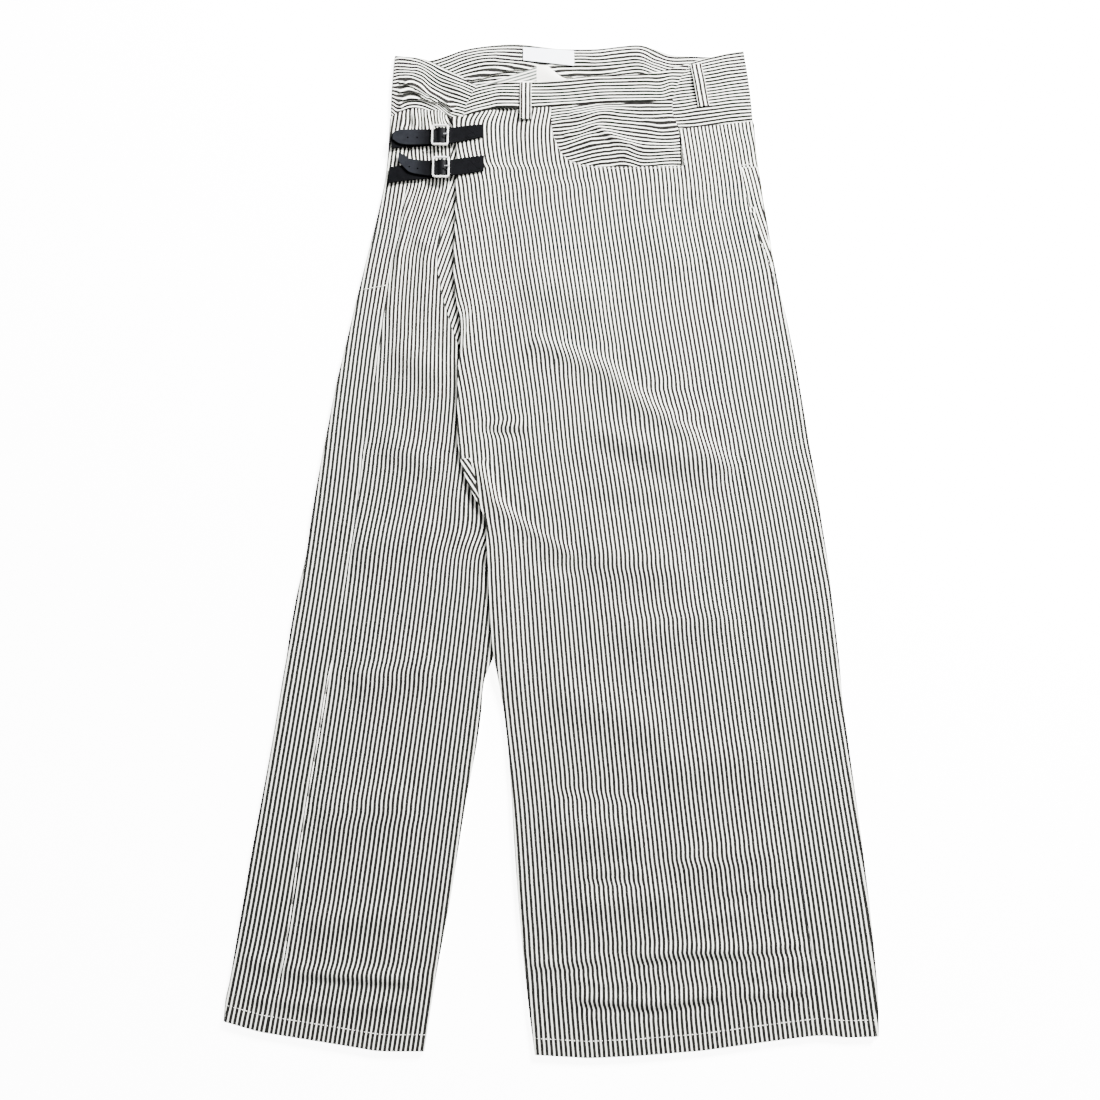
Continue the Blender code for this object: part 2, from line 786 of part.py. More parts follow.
def front_loop_height(x, y):
    foot = line(WAIST_SEAM, "y", x)
    on_band = front_band_height(x, max(y, foot))
    on_panel = left_height(x, foot - 4, read(LEFT_LEG, "inner", foot - 4))
    return max(on_band, on_panel)


def side_loop_height(x, y):
    return FRONT_LAYER + relief(BAND_FOLDS, x, y)


def strap_grid(rows, rise_at, flat_z, steps=3):
    """A strap or its anchor: it climbs over the buckle's bar where rise_at is given."""
    count = len(rows["x"])
    places = {"place": np.arange(count, dtype=float), **rows}
    grid = []
    for place in np.linspace(0.0, count - 1.0, (count - 1) * steps + 1):
        x, low, high = (read(places, name, place) for name in ("x", "low", "high"))
        z = flat_z
        if rise_at is not None:
            z += STRAP_RISE * (1 - smooth((abs(x - rise_at) - BAR_WIRE) / STRAP_CLIMB))
        grid.append([(x, y, z) for y in np.linspace(low, high, 3)])
    return grid


def cloth_wall(grid, thickness):
    """A closed wall of even thickness on both sides of a grid of points."""
    points = np.array(grid, float)
    rows, columns = points.shape[:2]
    normals = np.cross(np.gradient(points, axis=0), np.gradient(points, axis=1))
    normals /= np.linalg.norm(normals, axis=2, keepdims=True)
    sides = (points + normals * thickness / 2, points - normals * thickness / 2)
    mesh = bmesh.new()
    layers = []
    for side in sides:
        layers.append([[mesh.verts.new(side[i, j] * MM) for j in range(columns)]
                       for i in range(rows)])
    for layer in layers:
        for i in range(rows - 1):
            for j in range(columns - 1):
                mesh.faces.new((layer[i][j], layer[i + 1][j], layer[i + 1][j + 1],
                                layer[i][j + 1]))
    rim = [(0, j) for j in range(columns)]
    rim += [(i, columns - 1) for i in range(1, rows)]
    rim += [(rows - 1, j) for j in range(columns - 2, -1, -1)]
    rim += [(i, 0) for i in range(rows - 2, 0, -1)]
    for (i, j), (m, n) in zip(rim, rim[1:] + rim[:1]):
        mesh.faces.new((layers[0][i][j], layers[0][m][n], layers[1][m][n], layers[1][i][j]))
    bmesh.ops.recalc_face_normals(mesh, faces=mesh.faces)
    return mesh


def tube(path, radius, sides=6, closed=False):
    """A round wire along points, closed into a ring or with flat ends."""
    path = np.array(path, float)
    count = len(path)
    mesh = bmesh.new()
    rings = []
    for i in range(count):
        before = path[(i - 1) % count] if closed or i else path[i]
        after = path[(i + 1) % count] if closed or i < count - 1 else path[i]
        way = after - before
        way /= np.linalg.norm(way)
        flat = np.cross(way, (0.0, 0.0, 1.0))
        flat /= np.linalg.norm(flat)
        up = np.cross(flat, way)
        ring = []
        for k in range(sides):
            a = 2 * math.pi * (k + 0.5) / sides
            point = path[i] + radius * (math.cos(a) * flat + math.sin(a) * up)
            ring.append(mesh.verts.new(point * MM))
        rings.append(ring)
    pairs = list(zip(rings, rings[1:]))
    if closed:
        pairs.append((rings[-1], rings[0]))
    for first, second in pairs:
        for k in range(sides):
            n = (k + 1) % sides
            mesh.faces.new((first[k], first[n], second[n], second[k]))
    if not closed:
        mesh.faces.new(rings[0])
        mesh.faces.new(rings[-1])
    bmesh.ops.recalc_face_normals(mesh, faces=mesh.faces)
    return mesh


def buckle_ring(centre_x, centre_y):
    """The rounded rectangle that the frame's wire follows."""
    half_x = BUCKLE_WIDTH / 2 - WIRE
    half_y = BUCKLE_HEIGHT / 2 - WIRE
    path = []
    for quarter, (sx, sy) in enumerate(((1, 1), (-1, 1), (-1, -1), (1, -1))):
        for step in range(4):
            a = math.pi / 2 * (quarter + step / 3)
            path.append((centre_x + sx * (half_x - BUCKLE_CORNER) + BUCKLE_CORNER * math.cos(a),
                         centre_y + sy * (half_y - BUCKLE_CORNER) + BUCKLE_CORNER * math.sin(a),
                         FRAME_Z))
    return path


def buckle_bar(centre_x, centre_y):
    """The bar across the middle of the frame, bowed down below the strap."""
    reach = BUCKLE_HEIGHT / 2 - WIRE
    low = reach - BAR_BOW
    path = [(centre_x, centre_y - reach, FRAME_Z), (centre_x, centre_y - low, BAR_Z + SEAM_GAP)]
    path += [(centre_x, centre_y + low * share, BAR_Z) for share in (-0.8, 0.0, 0.8)]
    path += [(centre_x, centre_y + low, BAR_Z + SEAM_GAP), (centre_x, centre_y + reach, FRAME_Z)]
    return path


def tongue_path(centre_x, centre_y):
    """The buckle's tongue, out of the strap and over the frame's side."""
    side = centre_x + BUCKLE_WIDTH / 2 - WIRE
    rest = FRAME_Z + WIRE + SEAM_GAP + TONGUE_WIRE
    return [(side - TONGUE_REACH, centre_y, rest - 1.0), (side - BUCKLE_CORNER, centre_y, rest),
            (side, centre_y, rest), (side + 1.0, centre_y, rest - 0.1)]


def material(name, colour, roughness, metallic=0.0):
    made = bpy.data.materials.new(name)
    made.use_nodes = True
    shader = made.node_tree.nodes["Principled BSDF"]
    shader.inputs["Base Color"].default_value = (*colour, 1.0)
    shader.inputs["Roughness"].default_value = roughness
    shader.inputs["Metallic"].default_value = metallic
    made.diffuse_color = (*colour, 1.0)
    return made


def add_part(name, mesh, colour, roughness, metallic=0.0):
    """One named object of the garment, with a material of its own."""
    data = bpy.data.meshes.new(name)
    mesh.to_mesh(data)
    mesh.free()
    part = bpy.data.objects.new(name, data)
    data.materials.append(material(name, colour, roughness, metallic))
    bpy.context.scene.collection.objects.link(part)
    return part


def add_cloth(name, grid, thickness=CLOTH, colour=ECRU, roughness=0.85):
    part = add_part(name, cloth_wall(grid, thickness), colour, roughness)
    part.data.shade_smooth()
    part.data.set_sharp_from_angle(angle=math.radians(50))
    return part


def add_buckle(name, centre_x, centre_y):
    """A wire frame with its bar, and its tongue as a piece of its own."""
    frame = add_part(name + "_frame", tube(buckle_ring(centre_x, centre_y), WIRE, closed=True),
                     SILVER, 0.2, 1.0)
    bar = add_part(name + "_bar_cutter", tube(buckle_bar(centre_x, centre_y), BAR_WIRE),
                   SILVER, 0.2, 1.0)
    bar.hide_render = True
    bar.display_type = "WIRE"
    join = frame.modifiers.new("bar", "BOOLEAN")
    join.operation = "UNION"
    join.object = bar
    add_part(name + "_tongue", tube(tongue_path(centre_x, centre_y), TONGUE_WIRE), SILVER, 0.2, 1.0)


def clear_scene():
    for thing in list(bpy.data.objects):
        bpy.data.objects.remove(thing)


def build():
    clear_scene()
    add_cloth("front_right_leg", front_right_grid())
    add_cloth("front_left_leg", front_left_grid())
    add_cloth("front_left_tuck", tuck_grid())
    add_cloth("back_right_leg", back_right_grid())
    add_cloth("back_left_leg", back_left_grid())
    add_cloth("waistband", waistband_grid())
    add_cloth("front_waistband", front_band_grid())
    add_cloth("pocket_facing", facing_grid())
    add_cloth("inner_facing", inner_facing_grid(), colour=PALE)
    add_cloth("label", label_grid(), LABEL, WHITE, 0.7)
    add_cloth("front_belt_loop", loop_grid(*FRONT_LOOP, front_loop_height))
    add_cloth("side_belt_loop", loop_grid(*SIDE_LOOP, side_loop_height))
    for name, strap, anchor, buckle in (
        ("upper", UPPER_STRAP, UPPER_ANCHOR, UPPER_BUCKLE),
        ("lower", LOWER_STRAP, LOWER_ANCHOR, LOWER_BUCKLE),
    ):
        add_cloth(name + "_strap", strap_grid(strap, buckle[0], STRAP_Z), LEATHER, BLACK, 0.4)
        add_cloth(name + "_strap_anchor", strap_grid(anchor, None, ANCHOR_Z), LEATHER, BLACK, 0.4)
        add_buckle(name + "_buckle", *buckle)


build()
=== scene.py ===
"""The looks of wide-leg wrap trousers in striped twill, lying flat with the front side up.

The garment's own tables and sections are in millimetres. Each piece of cloth is a thin shell on
the form of its solid, with the finer creases laid in.
"""

import math

import bmesh
import bpy
import numpy as np
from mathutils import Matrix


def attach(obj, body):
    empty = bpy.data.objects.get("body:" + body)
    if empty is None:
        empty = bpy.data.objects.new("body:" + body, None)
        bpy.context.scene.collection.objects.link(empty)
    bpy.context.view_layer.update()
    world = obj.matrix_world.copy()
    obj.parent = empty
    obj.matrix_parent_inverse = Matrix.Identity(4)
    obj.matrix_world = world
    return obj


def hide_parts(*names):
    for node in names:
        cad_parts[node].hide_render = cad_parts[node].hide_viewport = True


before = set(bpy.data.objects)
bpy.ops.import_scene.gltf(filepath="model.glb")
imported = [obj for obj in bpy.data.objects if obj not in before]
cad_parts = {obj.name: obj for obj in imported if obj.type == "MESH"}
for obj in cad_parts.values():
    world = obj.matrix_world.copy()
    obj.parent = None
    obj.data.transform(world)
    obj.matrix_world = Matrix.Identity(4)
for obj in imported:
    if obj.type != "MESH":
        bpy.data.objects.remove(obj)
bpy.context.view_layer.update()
bpy.ops.object.select_all(action="DESELECT")

MM = 0.001

# Cloth and leather
CLOTH = 1.2
HALF = CLOTH / 2
SEAM_GAP = 0.3
LEATHER = 1.4
LABEL = 1.0

# Heights of the middle of each layer of cloth
BACK_LAYER = HALF
FRONT_LAYER = 3.0
TUCK_LAYER = 4.5
TOP_LAYER = 6.0
FOLD_TAIL = 1.5
FOLD_RADIUS = (FRONT_LAYER - BACK_LAYER) / 2
FOLD_TURNS = 4
FOLD_EASE = 0.8

# Where the legs part, and where the front seam meets the crotch
CROTCH_Y = 142.0
FORK_Y = -165.0
FORK_EASE = 50.0
OVERLAP = 7.0
TUCK_DEPTH = 34.0
WAIST_Y = 430.0
HEM_Y = -510.0
TURN_Y = CROTCH_Y - 10.0
TUCK_END_Y = CROTCH_Y + 6.0
LEAST_FOLD = 2.0
LEAST_TUCK = 4.0
CLIMB_START = 3.0
CLIMB = 26.0
WRAP_RISE = 1.6
BAND_RISE = 1.4
FRONT_SEAM_STRIP = 14.0
HEM_STITCH_IN = 14.0
SEAM_EDGE_Z = FRONT_LAYER + 0.1 + 0.3
BLEND = 20.0

# The seam between the back panels, at the crotch and at the waist
CROTCH_X = -88.0
CENTRE_X = -2.0

# Straps and buckles
WIRE = 1.0
BAR_WIRE = 0.8
ANCHOR_Z = 6.0
STRAP_Z = ANCHOR_Z + LEATHER + SEAM_GAP
BAR_Z = ANCHOR_Z + LEATHER / 2 + SEAM_GAP + BAR_WIRE
FRAME_Z = STRAP_Z + LEATHER / 2 + SEAM_GAP + WIRE
STRAP_RISE = BAR_Z + BAR_WIRE + SEAM_GAP + LEATHER / 2 - STRAP_Z
BUCKLE_WIDTH = 19.0
BUCKLE_HEIGHT = 24.5
UPPER_BUCKLE = (-118.9, 400.3)
LOWER_BUCKLE = (-117.0, 361.4)
# The frames are a little slimmer here than their solids, because bright metal looks wider
FRAME_TRIM = 0.8
FRAME_WALL = 1.45
TONGUE_WIRE = 0.7
TONGUE_REACH = 4.6
STRAP_CLIMB = 5.6
SEWN_IN = 2.2
# Where the painted sheen on the straps' ends begins and where it is palest, to the right of the
# middle
STRAP_END_SHEEN = (130.0, 152.0)
LOOP_WIDTH = 12.0
LOOP_LIFT = 0.7


def table(names, *rows):
    """A table with named columns, each one an array."""
    columns = zip(*rows)
    return {name: np.array(column, float) for name, column in zip(names.split(), columns)}


# The columns of the tables of ridges and creases, and of pushed stripes
RIDGE = "x1 y1 x2 y2 width height"
PUSH = "x y reach_x reach_y shift"

# Left leg, wide: the outer fold, the side seam on the front and the inner edge at each height
LEFT_LEG = table(
    "y outer seam inner",
    (450, 220, 136, -112), (415, 220, 140, -105), (390, 221, 142, -101), (367, 222.5, 144, -100),
    (348, 224, 147, -101), (320, 226, 152, -101), (289, 229, 158, -101), (225, 236, 167, -100),
    (188, 242, 173, -94), (172, 244, 175, -91), (152, 247, 177, -93), (97, 253, 185, -94),
    (39, 259, 192, -91), (15, 262, 194, -85), (-13, 264, 196, -69), (-69, 269, 200, -62),
    (-110, 271, 204, -59), (-165, 274, 208, -54), (-205, 275, 212, -46), (-260, 279, 216, -39),
    (-343, 285, 224, -33), (-421, 289, 235, -26), (-472, 290, 238, -20), (-520, 288, 239, -12),
)

# Right leg, narrower: the same lines, with the front seam as its inner edge above the crotch
RIGHT_LEG = table(
    "y outer seam inner",
    (450, -174, -151, -105), (414, -174, -151, -107), (349, -177, -153, -108),
    (304, -184, -159, -113), (252, -194, -166, -119), (220, -200, -170, -114),
    (198, -204, -172, -108), (175, -208, -174, -101), (142, -214, -178, -90),
    (120, -218, -180, -87), (68, -225, -186, -85), (39, -229, -188, -84), (15, -232, -190, -77),
    (-13, -235, -192, -62), (-69, -240, -197, -55), (-110, -247, -202, -52),
    (-148, -251, -207, -49), (-160, -252, -208, -53), (-176, -254, -211, -60),
    (-233, -260, -218, -67), (-289, -267, -225, -77), (-343, -274, -231, -85),
    (-396, -280, -236, -93), (-448, -286, -242, -102), (-498, -290.3, -250, -110),
    (-520, -289.6, -252, -113),
)

# The seam where the waistband joins the panels, from the right hip to the side seam
WAIST_SEAM = table(
    "x y",
    (-190, 424), (-174, 427), (-162, 434), (-147, 438), (-133, 435), (-120, 435), (-107, 424),
    (-94, 426), (-59, 435), (-17, 438), (52, 443), (105, 445), (134, 447),
)

# The scooped edge of the front pocket, from the waistband down and across to the side seam.
# base is where the cloth's lengthwise threads through these points meet the top of the leg.
SCOOP = table(
    "x y base",
    (0, 439.2, 1), (0.8, 421, 8), (3, 406, 17), (7, 394, 27), (13, 381, 39), (25, 371.5, 55),
    (44, 367, 75), (72, 365.5, 99), (104, 366, 125), (143.5, 367, 152),
)

# Where the lower edge of the hems runs
LEFT_HEM = table(
    "x y",
    (-12, -518), (35, -520.5), (80, -518.5), (133, -514.5), (204, -505.5), (240, -501.5),
    (262, -503.5), (288, -503),
)
RIGHT_HEM = table(
    "x y",
    (-288, -491), (-258, -499), (-204, -507), (-151, -515), (-113, -515),
)

# The tall waistband: its lower, middle and upper point at each place along its three lengths
LEFT_SIDE_BAND = table(
    "x_low y_low x_mid y_mid x_top y_top",
    (140.2, 411.9, 134, 448, 153.9, 494.5), (164, 414.9, 164, 458, 172, 500.5),
    (193, 418.5, 192, 463, 195, 506.5), (218.2, 421.6, 216.2, 466, 212.2, 509.5),
)
BACK_BAND = table(
    "x_low y_low x_mid y_mid x_top y_top",
    (218.2, 421.6, 216.2, 466, 212.2, 509.5), (183, 426, 183, 465, 183, 504),
    (133, 434, 133, 470, 133, 506.5), (99, 438, 99, 478, 99, 519), (55, 440, 55, 477, 55, 514.3),
    (10, 441, 10, 478, 10, 514.3), (-27, 441, -27, 480, -27, 519.6),
    (-56, 440, -56, 480, -56, 519.6), (-96, 436, -96, 474, -96, 513),
    (-133, 431, -133, 466, -133, 499.5), (-172.2, 427.5, -172.2, 465, -170.5, 503.6),
)
RIGHT_SIDE_BAND = table(
    "x_low x_mid y_mid x_top y_top",
    (-172.2, -172.2, 465, -170.5, 503.6), (-147, -146, 468, -137, 498.3),
    (-127, -122, 460, -111, 484), (-107, -98, 446, -94, 473), (-95.2, -90.6, 443, -81, 464.1),
)

# The narrow front band, from the wrap's edge to the side seam
FRONT_BAND = table(
    "x_low x_top y_top",
    (-94.8, -80.6, 464), (-80, -69.4, 465), (-59, -48, 468), (-32, -28, 470.6), (0, 3, 471),
    (35, 40, 475.5), (72, 79, 478.5), (105, 120, 483.5), (133.6, 153.4, 494.3),
)

FRONT_BAND_TOP = {"x": FRONT_BAND["x_top"], "y": FRONT_BAND["y_top"]}

# The upper edge of the facing that stands up inside the waist, and the hump at its end
INSIDE_TOP = table(
    "x y",
    (-74, 467.5), (-57, 474), (-36, 482), (-22, 487.5), (-12, 491.5), (-4, 491), (3, 485),
    (10.5, 478), (17, 475),
)
INSIDE_HUMP = 1.6
INSIDE_HUMP_X = -3.0
INSIDE_HUMP_REACH = 24.0

# Ridges that the cloth of the front rises in: both ends, the width and the height of each
HIP_FOLDS = table(
    RIDGE,
    (-164, 424, -162, 345, 9, 1.2), (-147, 436, -148, 352, 8, 1.3), (-134, 434, -136, 340, 8, 1.2),
    (-121, 433, -124, 330, 8, 1.3), (-112, 420, -113, 300, 7, 1), (-154, 318, -165, 240, 9, 1.6),
    (-140, 330, -132, 255, 9, 1.4), (-126, 300, -134, 215, 9, 1.1),
    (-206, -452, -120, -468, 16, 0.8), (-150, 20, -120, -30, 22, 0.7),
)
LEFT_FOLDS = table(
    RIDGE,
    (-62, 82, -8, 104, 14, 1.1), (92, 115, 186, 50, 24, 1.6), (88, 46, 166, 26, 22, 1.4),
    (-60, -20, 30, 20, 22, 1), (-20, -250, 90, -262, 26, 0.8), (12, -436, 226, -432, 20, 1.2),
    (28, -476, 235, -468, 18, 1), (-86, 36, -69, -10, 9, -1.2), (196, 372, 214, 262, 10, 1.5),
)
FACING_FOLDS = table(
    RIDGE,
    (10, 424, 70, 432, 14, 1), (30, 396, 100, 408, 18, 1.5), (60, 376, 132, 390, 14, 1.1),
)
BAND_FOLDS = table(
    RIDGE,
    (-172, 446, -136, 468, 10, 1.6), (-168, 436, -118, 452, 9, 1.4), (-140, 486, -96, 456, 14, 1.2),
    (-60, 455, 0, 452, 12, 0.8), (15, 462, 60, 466, 12, 0.9), (146, 466, 205, 482, 14, 1),
    (160, 432, 212, 444, 12, 1),
)
INSIDE_FOLDS = table(
    RIDGE,
    (-84, 498, -52, 506, 14, 1.6), (46, 494, 74, 500, 14, 1.4), (84, 500, 120, 506, 16, 1.8),
    (150, 494, 176, 498, 14, 1.2),
)

# Straps: lower and upper edge at each place along them, from the sewn end to the tip
UPPER_STRAP = table(
    "x low high",
    (-72.9, 399.2, 414.3), (-93, 394.3, 412.3), (-109, 391.4, 409.6), (-119, 391.3, 409.3),
    (-128, 390.2, 408.2), (-150, 389.6, 408), (-162, 391, 407.5), (-170, 396.5, 404),
)
LOWER_STRAP = table(
    "x low high",
    (-71.2, 358.1, 376.2), (-90, 354.5, 373.8), (-108.6, 352.3, 370.6), (-117, 352.4, 370.4),
    (-126, 351.6, 370), (-148, 355.5, 371.5), (-156, 361.5, 376.5), (-163, 370, 379.5),
)
UPPER_ANCHOR = table("x low high", (-171.5, 386.5, 404.0), (-150.0, 388.0, 406.0),
                     (-112.5, 390.7, 409.8))
LOWER_ANCHOR = table("x low high", (-172.5, 344.5, 363.0), (-150.0, 348.0, 366.5),
                     (-111.5, 351.4, 370.8))


def smooth(value):
    """0 below 0, 1 above 1 and a soft step between them."""
    value = np.clip(value, 0.0, 1.0)
    return value * value * (3.0 - 2.0 * value)


def read(rows, name, at):
    """One column of a table at any value of its first column, along a smooth curve."""
    keys = list(rows)
    key, values = rows[keys[0]], rows[name]
    if key[0] > key[-1]:
        key, values = key[::-1], values[::-1]
    slopes = np.gradient(values, key)
    at = np.clip(at, key[0], key[-1])
    i = np.clip(np.searchsorted(key, at) - 1, 0, len(key) - 2)
    span = key[i + 1] - key[i]
    t = (at - key[i]) / span
    start = (1 + 2 * t) * (1 - t) ** 2 * values[i] + t * (1 - t) ** 2 * span * slopes[i]
    end = t * t * (3 - 2 * t) * values[i + 1] + t * t * (t - 1) * span * slopes[i + 1]
    return start + end


def line(rows, name, at):
    """One column of a table at any value of its first column, along straight lines."""
    key = rows[list(rows)[0]]
    order = np.argsort(key)
    return np.interp(at, key[order], rows[name][order])


def relief(folds, x, y):
    """How far the folds of a table lift the cloth at a point."""
    lift = 0.0
    for x1, y1, x2, y2, width, height in zip(*folds.values()):
        dx, dy = x2 - x1, y2 - y1
        share = ((x - x1) * dx + (y - y1) * dy) / (dx * dx + dy * dy)
        nearest = np.clip(share, 0.0, 1.0)
        off = np.hypot(x - x1 - nearest * dx, y - y1 - nearest * dy)
        fade = smooth(4.0 * (0.5 - np.abs(share - 0.5)) + 0.3)
        lift = lift + height * np.exp(-((1.6 * off / width) ** 2)) * fade
    return lift


def tuck_depth(y):
    """How far the hidden fold of the wrap lies behind its edge."""
    return np.maximum(TUCK_DEPTH * (y - CROTCH_Y) / (WAIST_Y - CROTCH_Y), LEAST_TUCK)


def left_height(x, y, edge):
    """Height of the left front panel: it climbs over the tuck and over the right leg."""
    flat = (tuck_depth(y) if y > CROTCH_Y else OVERLAP) + CLIMB_START
    climb = 1.0 - smooth((x - edge - flat) / CLIMB)
    return FRONT_LAYER + (TOP_LAYER - FRONT_LAYER) * climb * joined_above(y)


def joined_above(y):
    """1 where the legs are one, 0 below the fork and a soft step between them."""
    return smooth((y - FORK_Y + FORK_EASE) / FORK_EASE)


def rolled_edge(edge, way, top, under):
    """Section of a fold: half a turn down from the top layer, then a short tail under it."""
    radius = (top - under) / 2
    centre = edge + way * (HALF + radius)
    angles = np.linspace(math.pi / 2, -math.pi / 2, FOLD_TURNS + 1)
    points = [(centre - way * radius * math.cos(a), under + radius + radius * math.sin(a))
              for a in angles]
    return points + [(centre + way * FOLD_TAIL, under)]


LEG_STATIONS = np.concatenate([
    np.linspace(320, 160, 6),
    (CROTCH_Y, 120),
    np.linspace(85, -140, 7),
    (FORK_Y, -182, -198, -216),
    np.linspace(-250, -455, 7),
])
LEG_TOP, LEG_END = LEG_STATIONS[0], LEG_STATIONS[-1]


def panel_rows(waist_steps):
    """The rows of a leg panel, from the waist down: what each follows, and how closely."""
    rows = [("waist", share) for share in np.linspace(1.0, 0.0, waist_steps + 1)[:-1]]
    rows += [("leg", y) for y in LEG_STATIONS]
    return rows + [("hem", 0.5), ("hem", 1.0)]


def level(kind, value, waist_y, hem_y):
    """Where a row runs at one place: across the leg, or bent towards the waist or the hem."""
    if kind == "waist":
        return LEG_TOP + value * (waist_y - LEG_TOP)
    if kind == "hem":
        return LEG_END + value * (hem_y - LEG_END)
    return value


def front_right_grid():
    """Right front panel: side seam to front seam, and round the inner edge below the crotch."""
    columns = 11
    grid = []
    for kind, value in panel_rows(4):
        y = level(kind, value, WAIST_Y, HEM_Y)
        seam = read(RIGHT_LEG, "seam", y) + SEAM_GAP / 2
        inner = read(RIGHT_LEG, "inner", y)
        if y < TURN_Y:
            edge = rolled_edge(inner, -1, FRONT_LAYER, BACK_LAYER)
            section = [(x, None) for x in np.linspace(seam, edge[0][0], columns)] + edge[1:]
        else:
            end = inner - SEAM_GAP / 2
            start = end - FRONT_SEAM_STRIP
            section = [(x, None) for x in np.linspace(seam, start, columns)]
            section += [(x, None) for x in np.linspace(start, end, FOLD_TURNS + 2)[1:]]
        row = []
        for x, z in section:
            row_y = level(kind, value, line(WAIST_SEAM, "y", x) - SEAM_GAP, line(RIGHT_HEM, "y", x))
            if z is None:
                calm = smooth((x - seam) / 6.0) * smooth((inner - x) / 8.0)
                z = FRONT_LAYER + relief(HIP_FOLDS, x, row_y) * calm
            row.append((x, row_y, z))
        grid.append(row)
    return grid


def left_top_edge():
    """Top edge of the left front panel along the waistband and the pocket's scoop.

    Each point also has the x at which its thread meets the top of the leg.
    """
    first = read(LEFT_LEG, "inner", WAIST_Y) + HALF + FOLD_EASE
    base = read(LEFT_LEG, "inner", LEG_TOP) + HALF + FOLD_EASE
    points = [(x, line(WAIST_SEAM, "y", x) - SEAM_GAP, base_x)
              for x, base_x in zip(np.linspace(first, -14, 8), np.linspace(base, -11, 8))]
    points += [(x - SEAM_GAP, y - SEAM_GAP, base_x) for x, y, base_x in zip(*SCOOP.values())]
    return np.array(points)


def front_left_grid():
    """Left front panel: side seam to the wrap's edge or the inner leg, and round that edge."""
    top_edge = left_top_edge()
    base = top_edge[:, 2]
    base_share = (base - base[0]) / (base[-1] - base[0])
    even_share = np.linspace(0.0, 1.0, len(base))
    grid = []
    for kind, value in panel_rows(5):
        y = level(kind, value, WAIST_Y, HEM_Y)
        parted = joined_above(y)
        top = FRONT_LAYER + (TOP_LAYER - FRONT_LAYER) * parted
        under = BACK_LAYER + (TUCK_LAYER - BACK_LAYER) * parted
        inner = read(LEFT_LEG, "inner", y)
        edge = rolled_edge(inner, 1, top, under)
        seam = read(LEFT_LEG, "seam", y) - SEAM_GAP / 2
        mix = smooth((LEG_TOP - y) / 150.0)
        shares = base_share + (even_share - base_share) * mix
        xs = edge[0][0] + (seam - edge[0][0]) * shares
        ys = [level(kind, value, 0.0, line(LEFT_HEM, "y", x)) for x in xs]
        if kind == "waist":
            xs = base + value * (top_edge[:, 0] - base)
            ys = LEG_TOP + value * (top_edge[:, 1] - LEG_TOP)
            xs[0] = edge[0][0]
            xs[-1] = read(LEFT_LEG, "seam", ys[-1]) - SEAM_GAP / 2
        row = []
        for x, row_y in zip(xs[:0:-1], ys[:0:-1]):
            calm = smooth((seam - x) / 8.0) * smooth((x - inner) / 10.0)
            z = left_height(x, row_y, inner) + relief(LEFT_FOLDS, x, row_y) * calm
            row.append((x, row_y, z))
        row += [(x, ys[0], z) for x, z in edge]
        grid.append(row)
    return grid


def tuck_grid():
    """The part of the left front that is folded under: back to the hidden fold, then forward."""
    left_edge = np.array([row[-1] for row in front_left_grid()])[::-1]
    radius = (TUCK_LAYER - FRONT_LAYER) / 2
    grid = []
    for seam_x, y, _ in [row[-1] for row in front_right_grid()]:
        if y < TUCK_END_Y:
            break
        start = np.interp(y, left_edge[:, 1], left_edge[:, 0]) + 4 * SEAM_GAP
        back = max(read(LEFT_LEG, "inner", y) + tuck_depth(y), start + LEAST_FOLD)
        section = [(x, TUCK_LAYER) for x in np.linspace(start, back, 4)]
        section += [(back + radius * math.sin(a), FRONT_LAYER + radius + radius * math.cos(a))
                    for a in np.linspace(0, math.pi, 5)[1:]]
        section += [(x, FRONT_LAYER) for x in np.linspace(back, seam_x + SEAM_GAP, 6)[1:]]
        grid.append([(x, y, z) for x, z in section])
    return grid


def centre_back(y):
    """The seam between the two back panels above the crotch."""
    return CROTCH_X + (CENTRE_X - CROTCH_X) * smooth((y - CROTCH_Y) / (WAIST_Y - CROTCH_Y))


def back_grid(leg, side, hem, inner_at):
    """A back panel: from its inner edge flat to the outer fold, then over to the side seam.

    side is 1 for the left leg and -1 for the right one.
    """
    radius = FOLD_RADIUS
    folds = LEFT_FOLDS if side > 0 else HIP_FOLDS
    grid = []
    for kind, value in panel_rows(4):
        y = level(kind, value, WAIST_Y, HEM_Y)
        outer = read(leg, "outer", y) - side * (HALF + radius)
        seam = read(leg, "seam", y) + side * SEAM_GAP / 2
        section = [(x, BACK_LAYER) for x in np.linspace(inner_at(y), outer, 6)]
        section += [(outer + side * radius * math.sin(a), BACK_LAYER + radius - radius * math.cos(a))
                    for a in np.linspace(0, math.pi, 6)[1:]]
        section += [(x, None) for x in np.linspace(outer, seam, 5)[1:]]
        row = []
        for x, z in section:
            over = z is None or z > FRONT_LAYER - 0.1
            row_y = level(kind, value, back_top(x, side, over), line(hem, "y", x))
            if z is None:
                if side > 0:
                    shift = read(leg, "seam", row_y) - read(leg, "seam", y)
                    x += shift * (x - outer) / (seam - outer)
                calm = smooth(abs(x - seam) / 8.0) * smooth(abs(outer - x) / 8.0)
                z = FRONT_LAYER + relief(folds, x, row_y) * calm
            row.append((x, row_y, z))
        grid.append(row)
    return grid


def left_side_low(x):
    """Lower edge of the tall band on the left side."""
    return 411.9 + 0.124 * (x - 140.2)


def back_top(x, side, over):
    """Where a back panel ends under the waistband, on the front side or on the back."""
    if over and side > 0:
        return left_side_low(x) - SEAM_GAP
    if over:
        return line(WAIST_SEAM, "y", x) - SEAM_GAP
    return line(BACK_BAND, "y_low", x) - 3 * SEAM_GAP


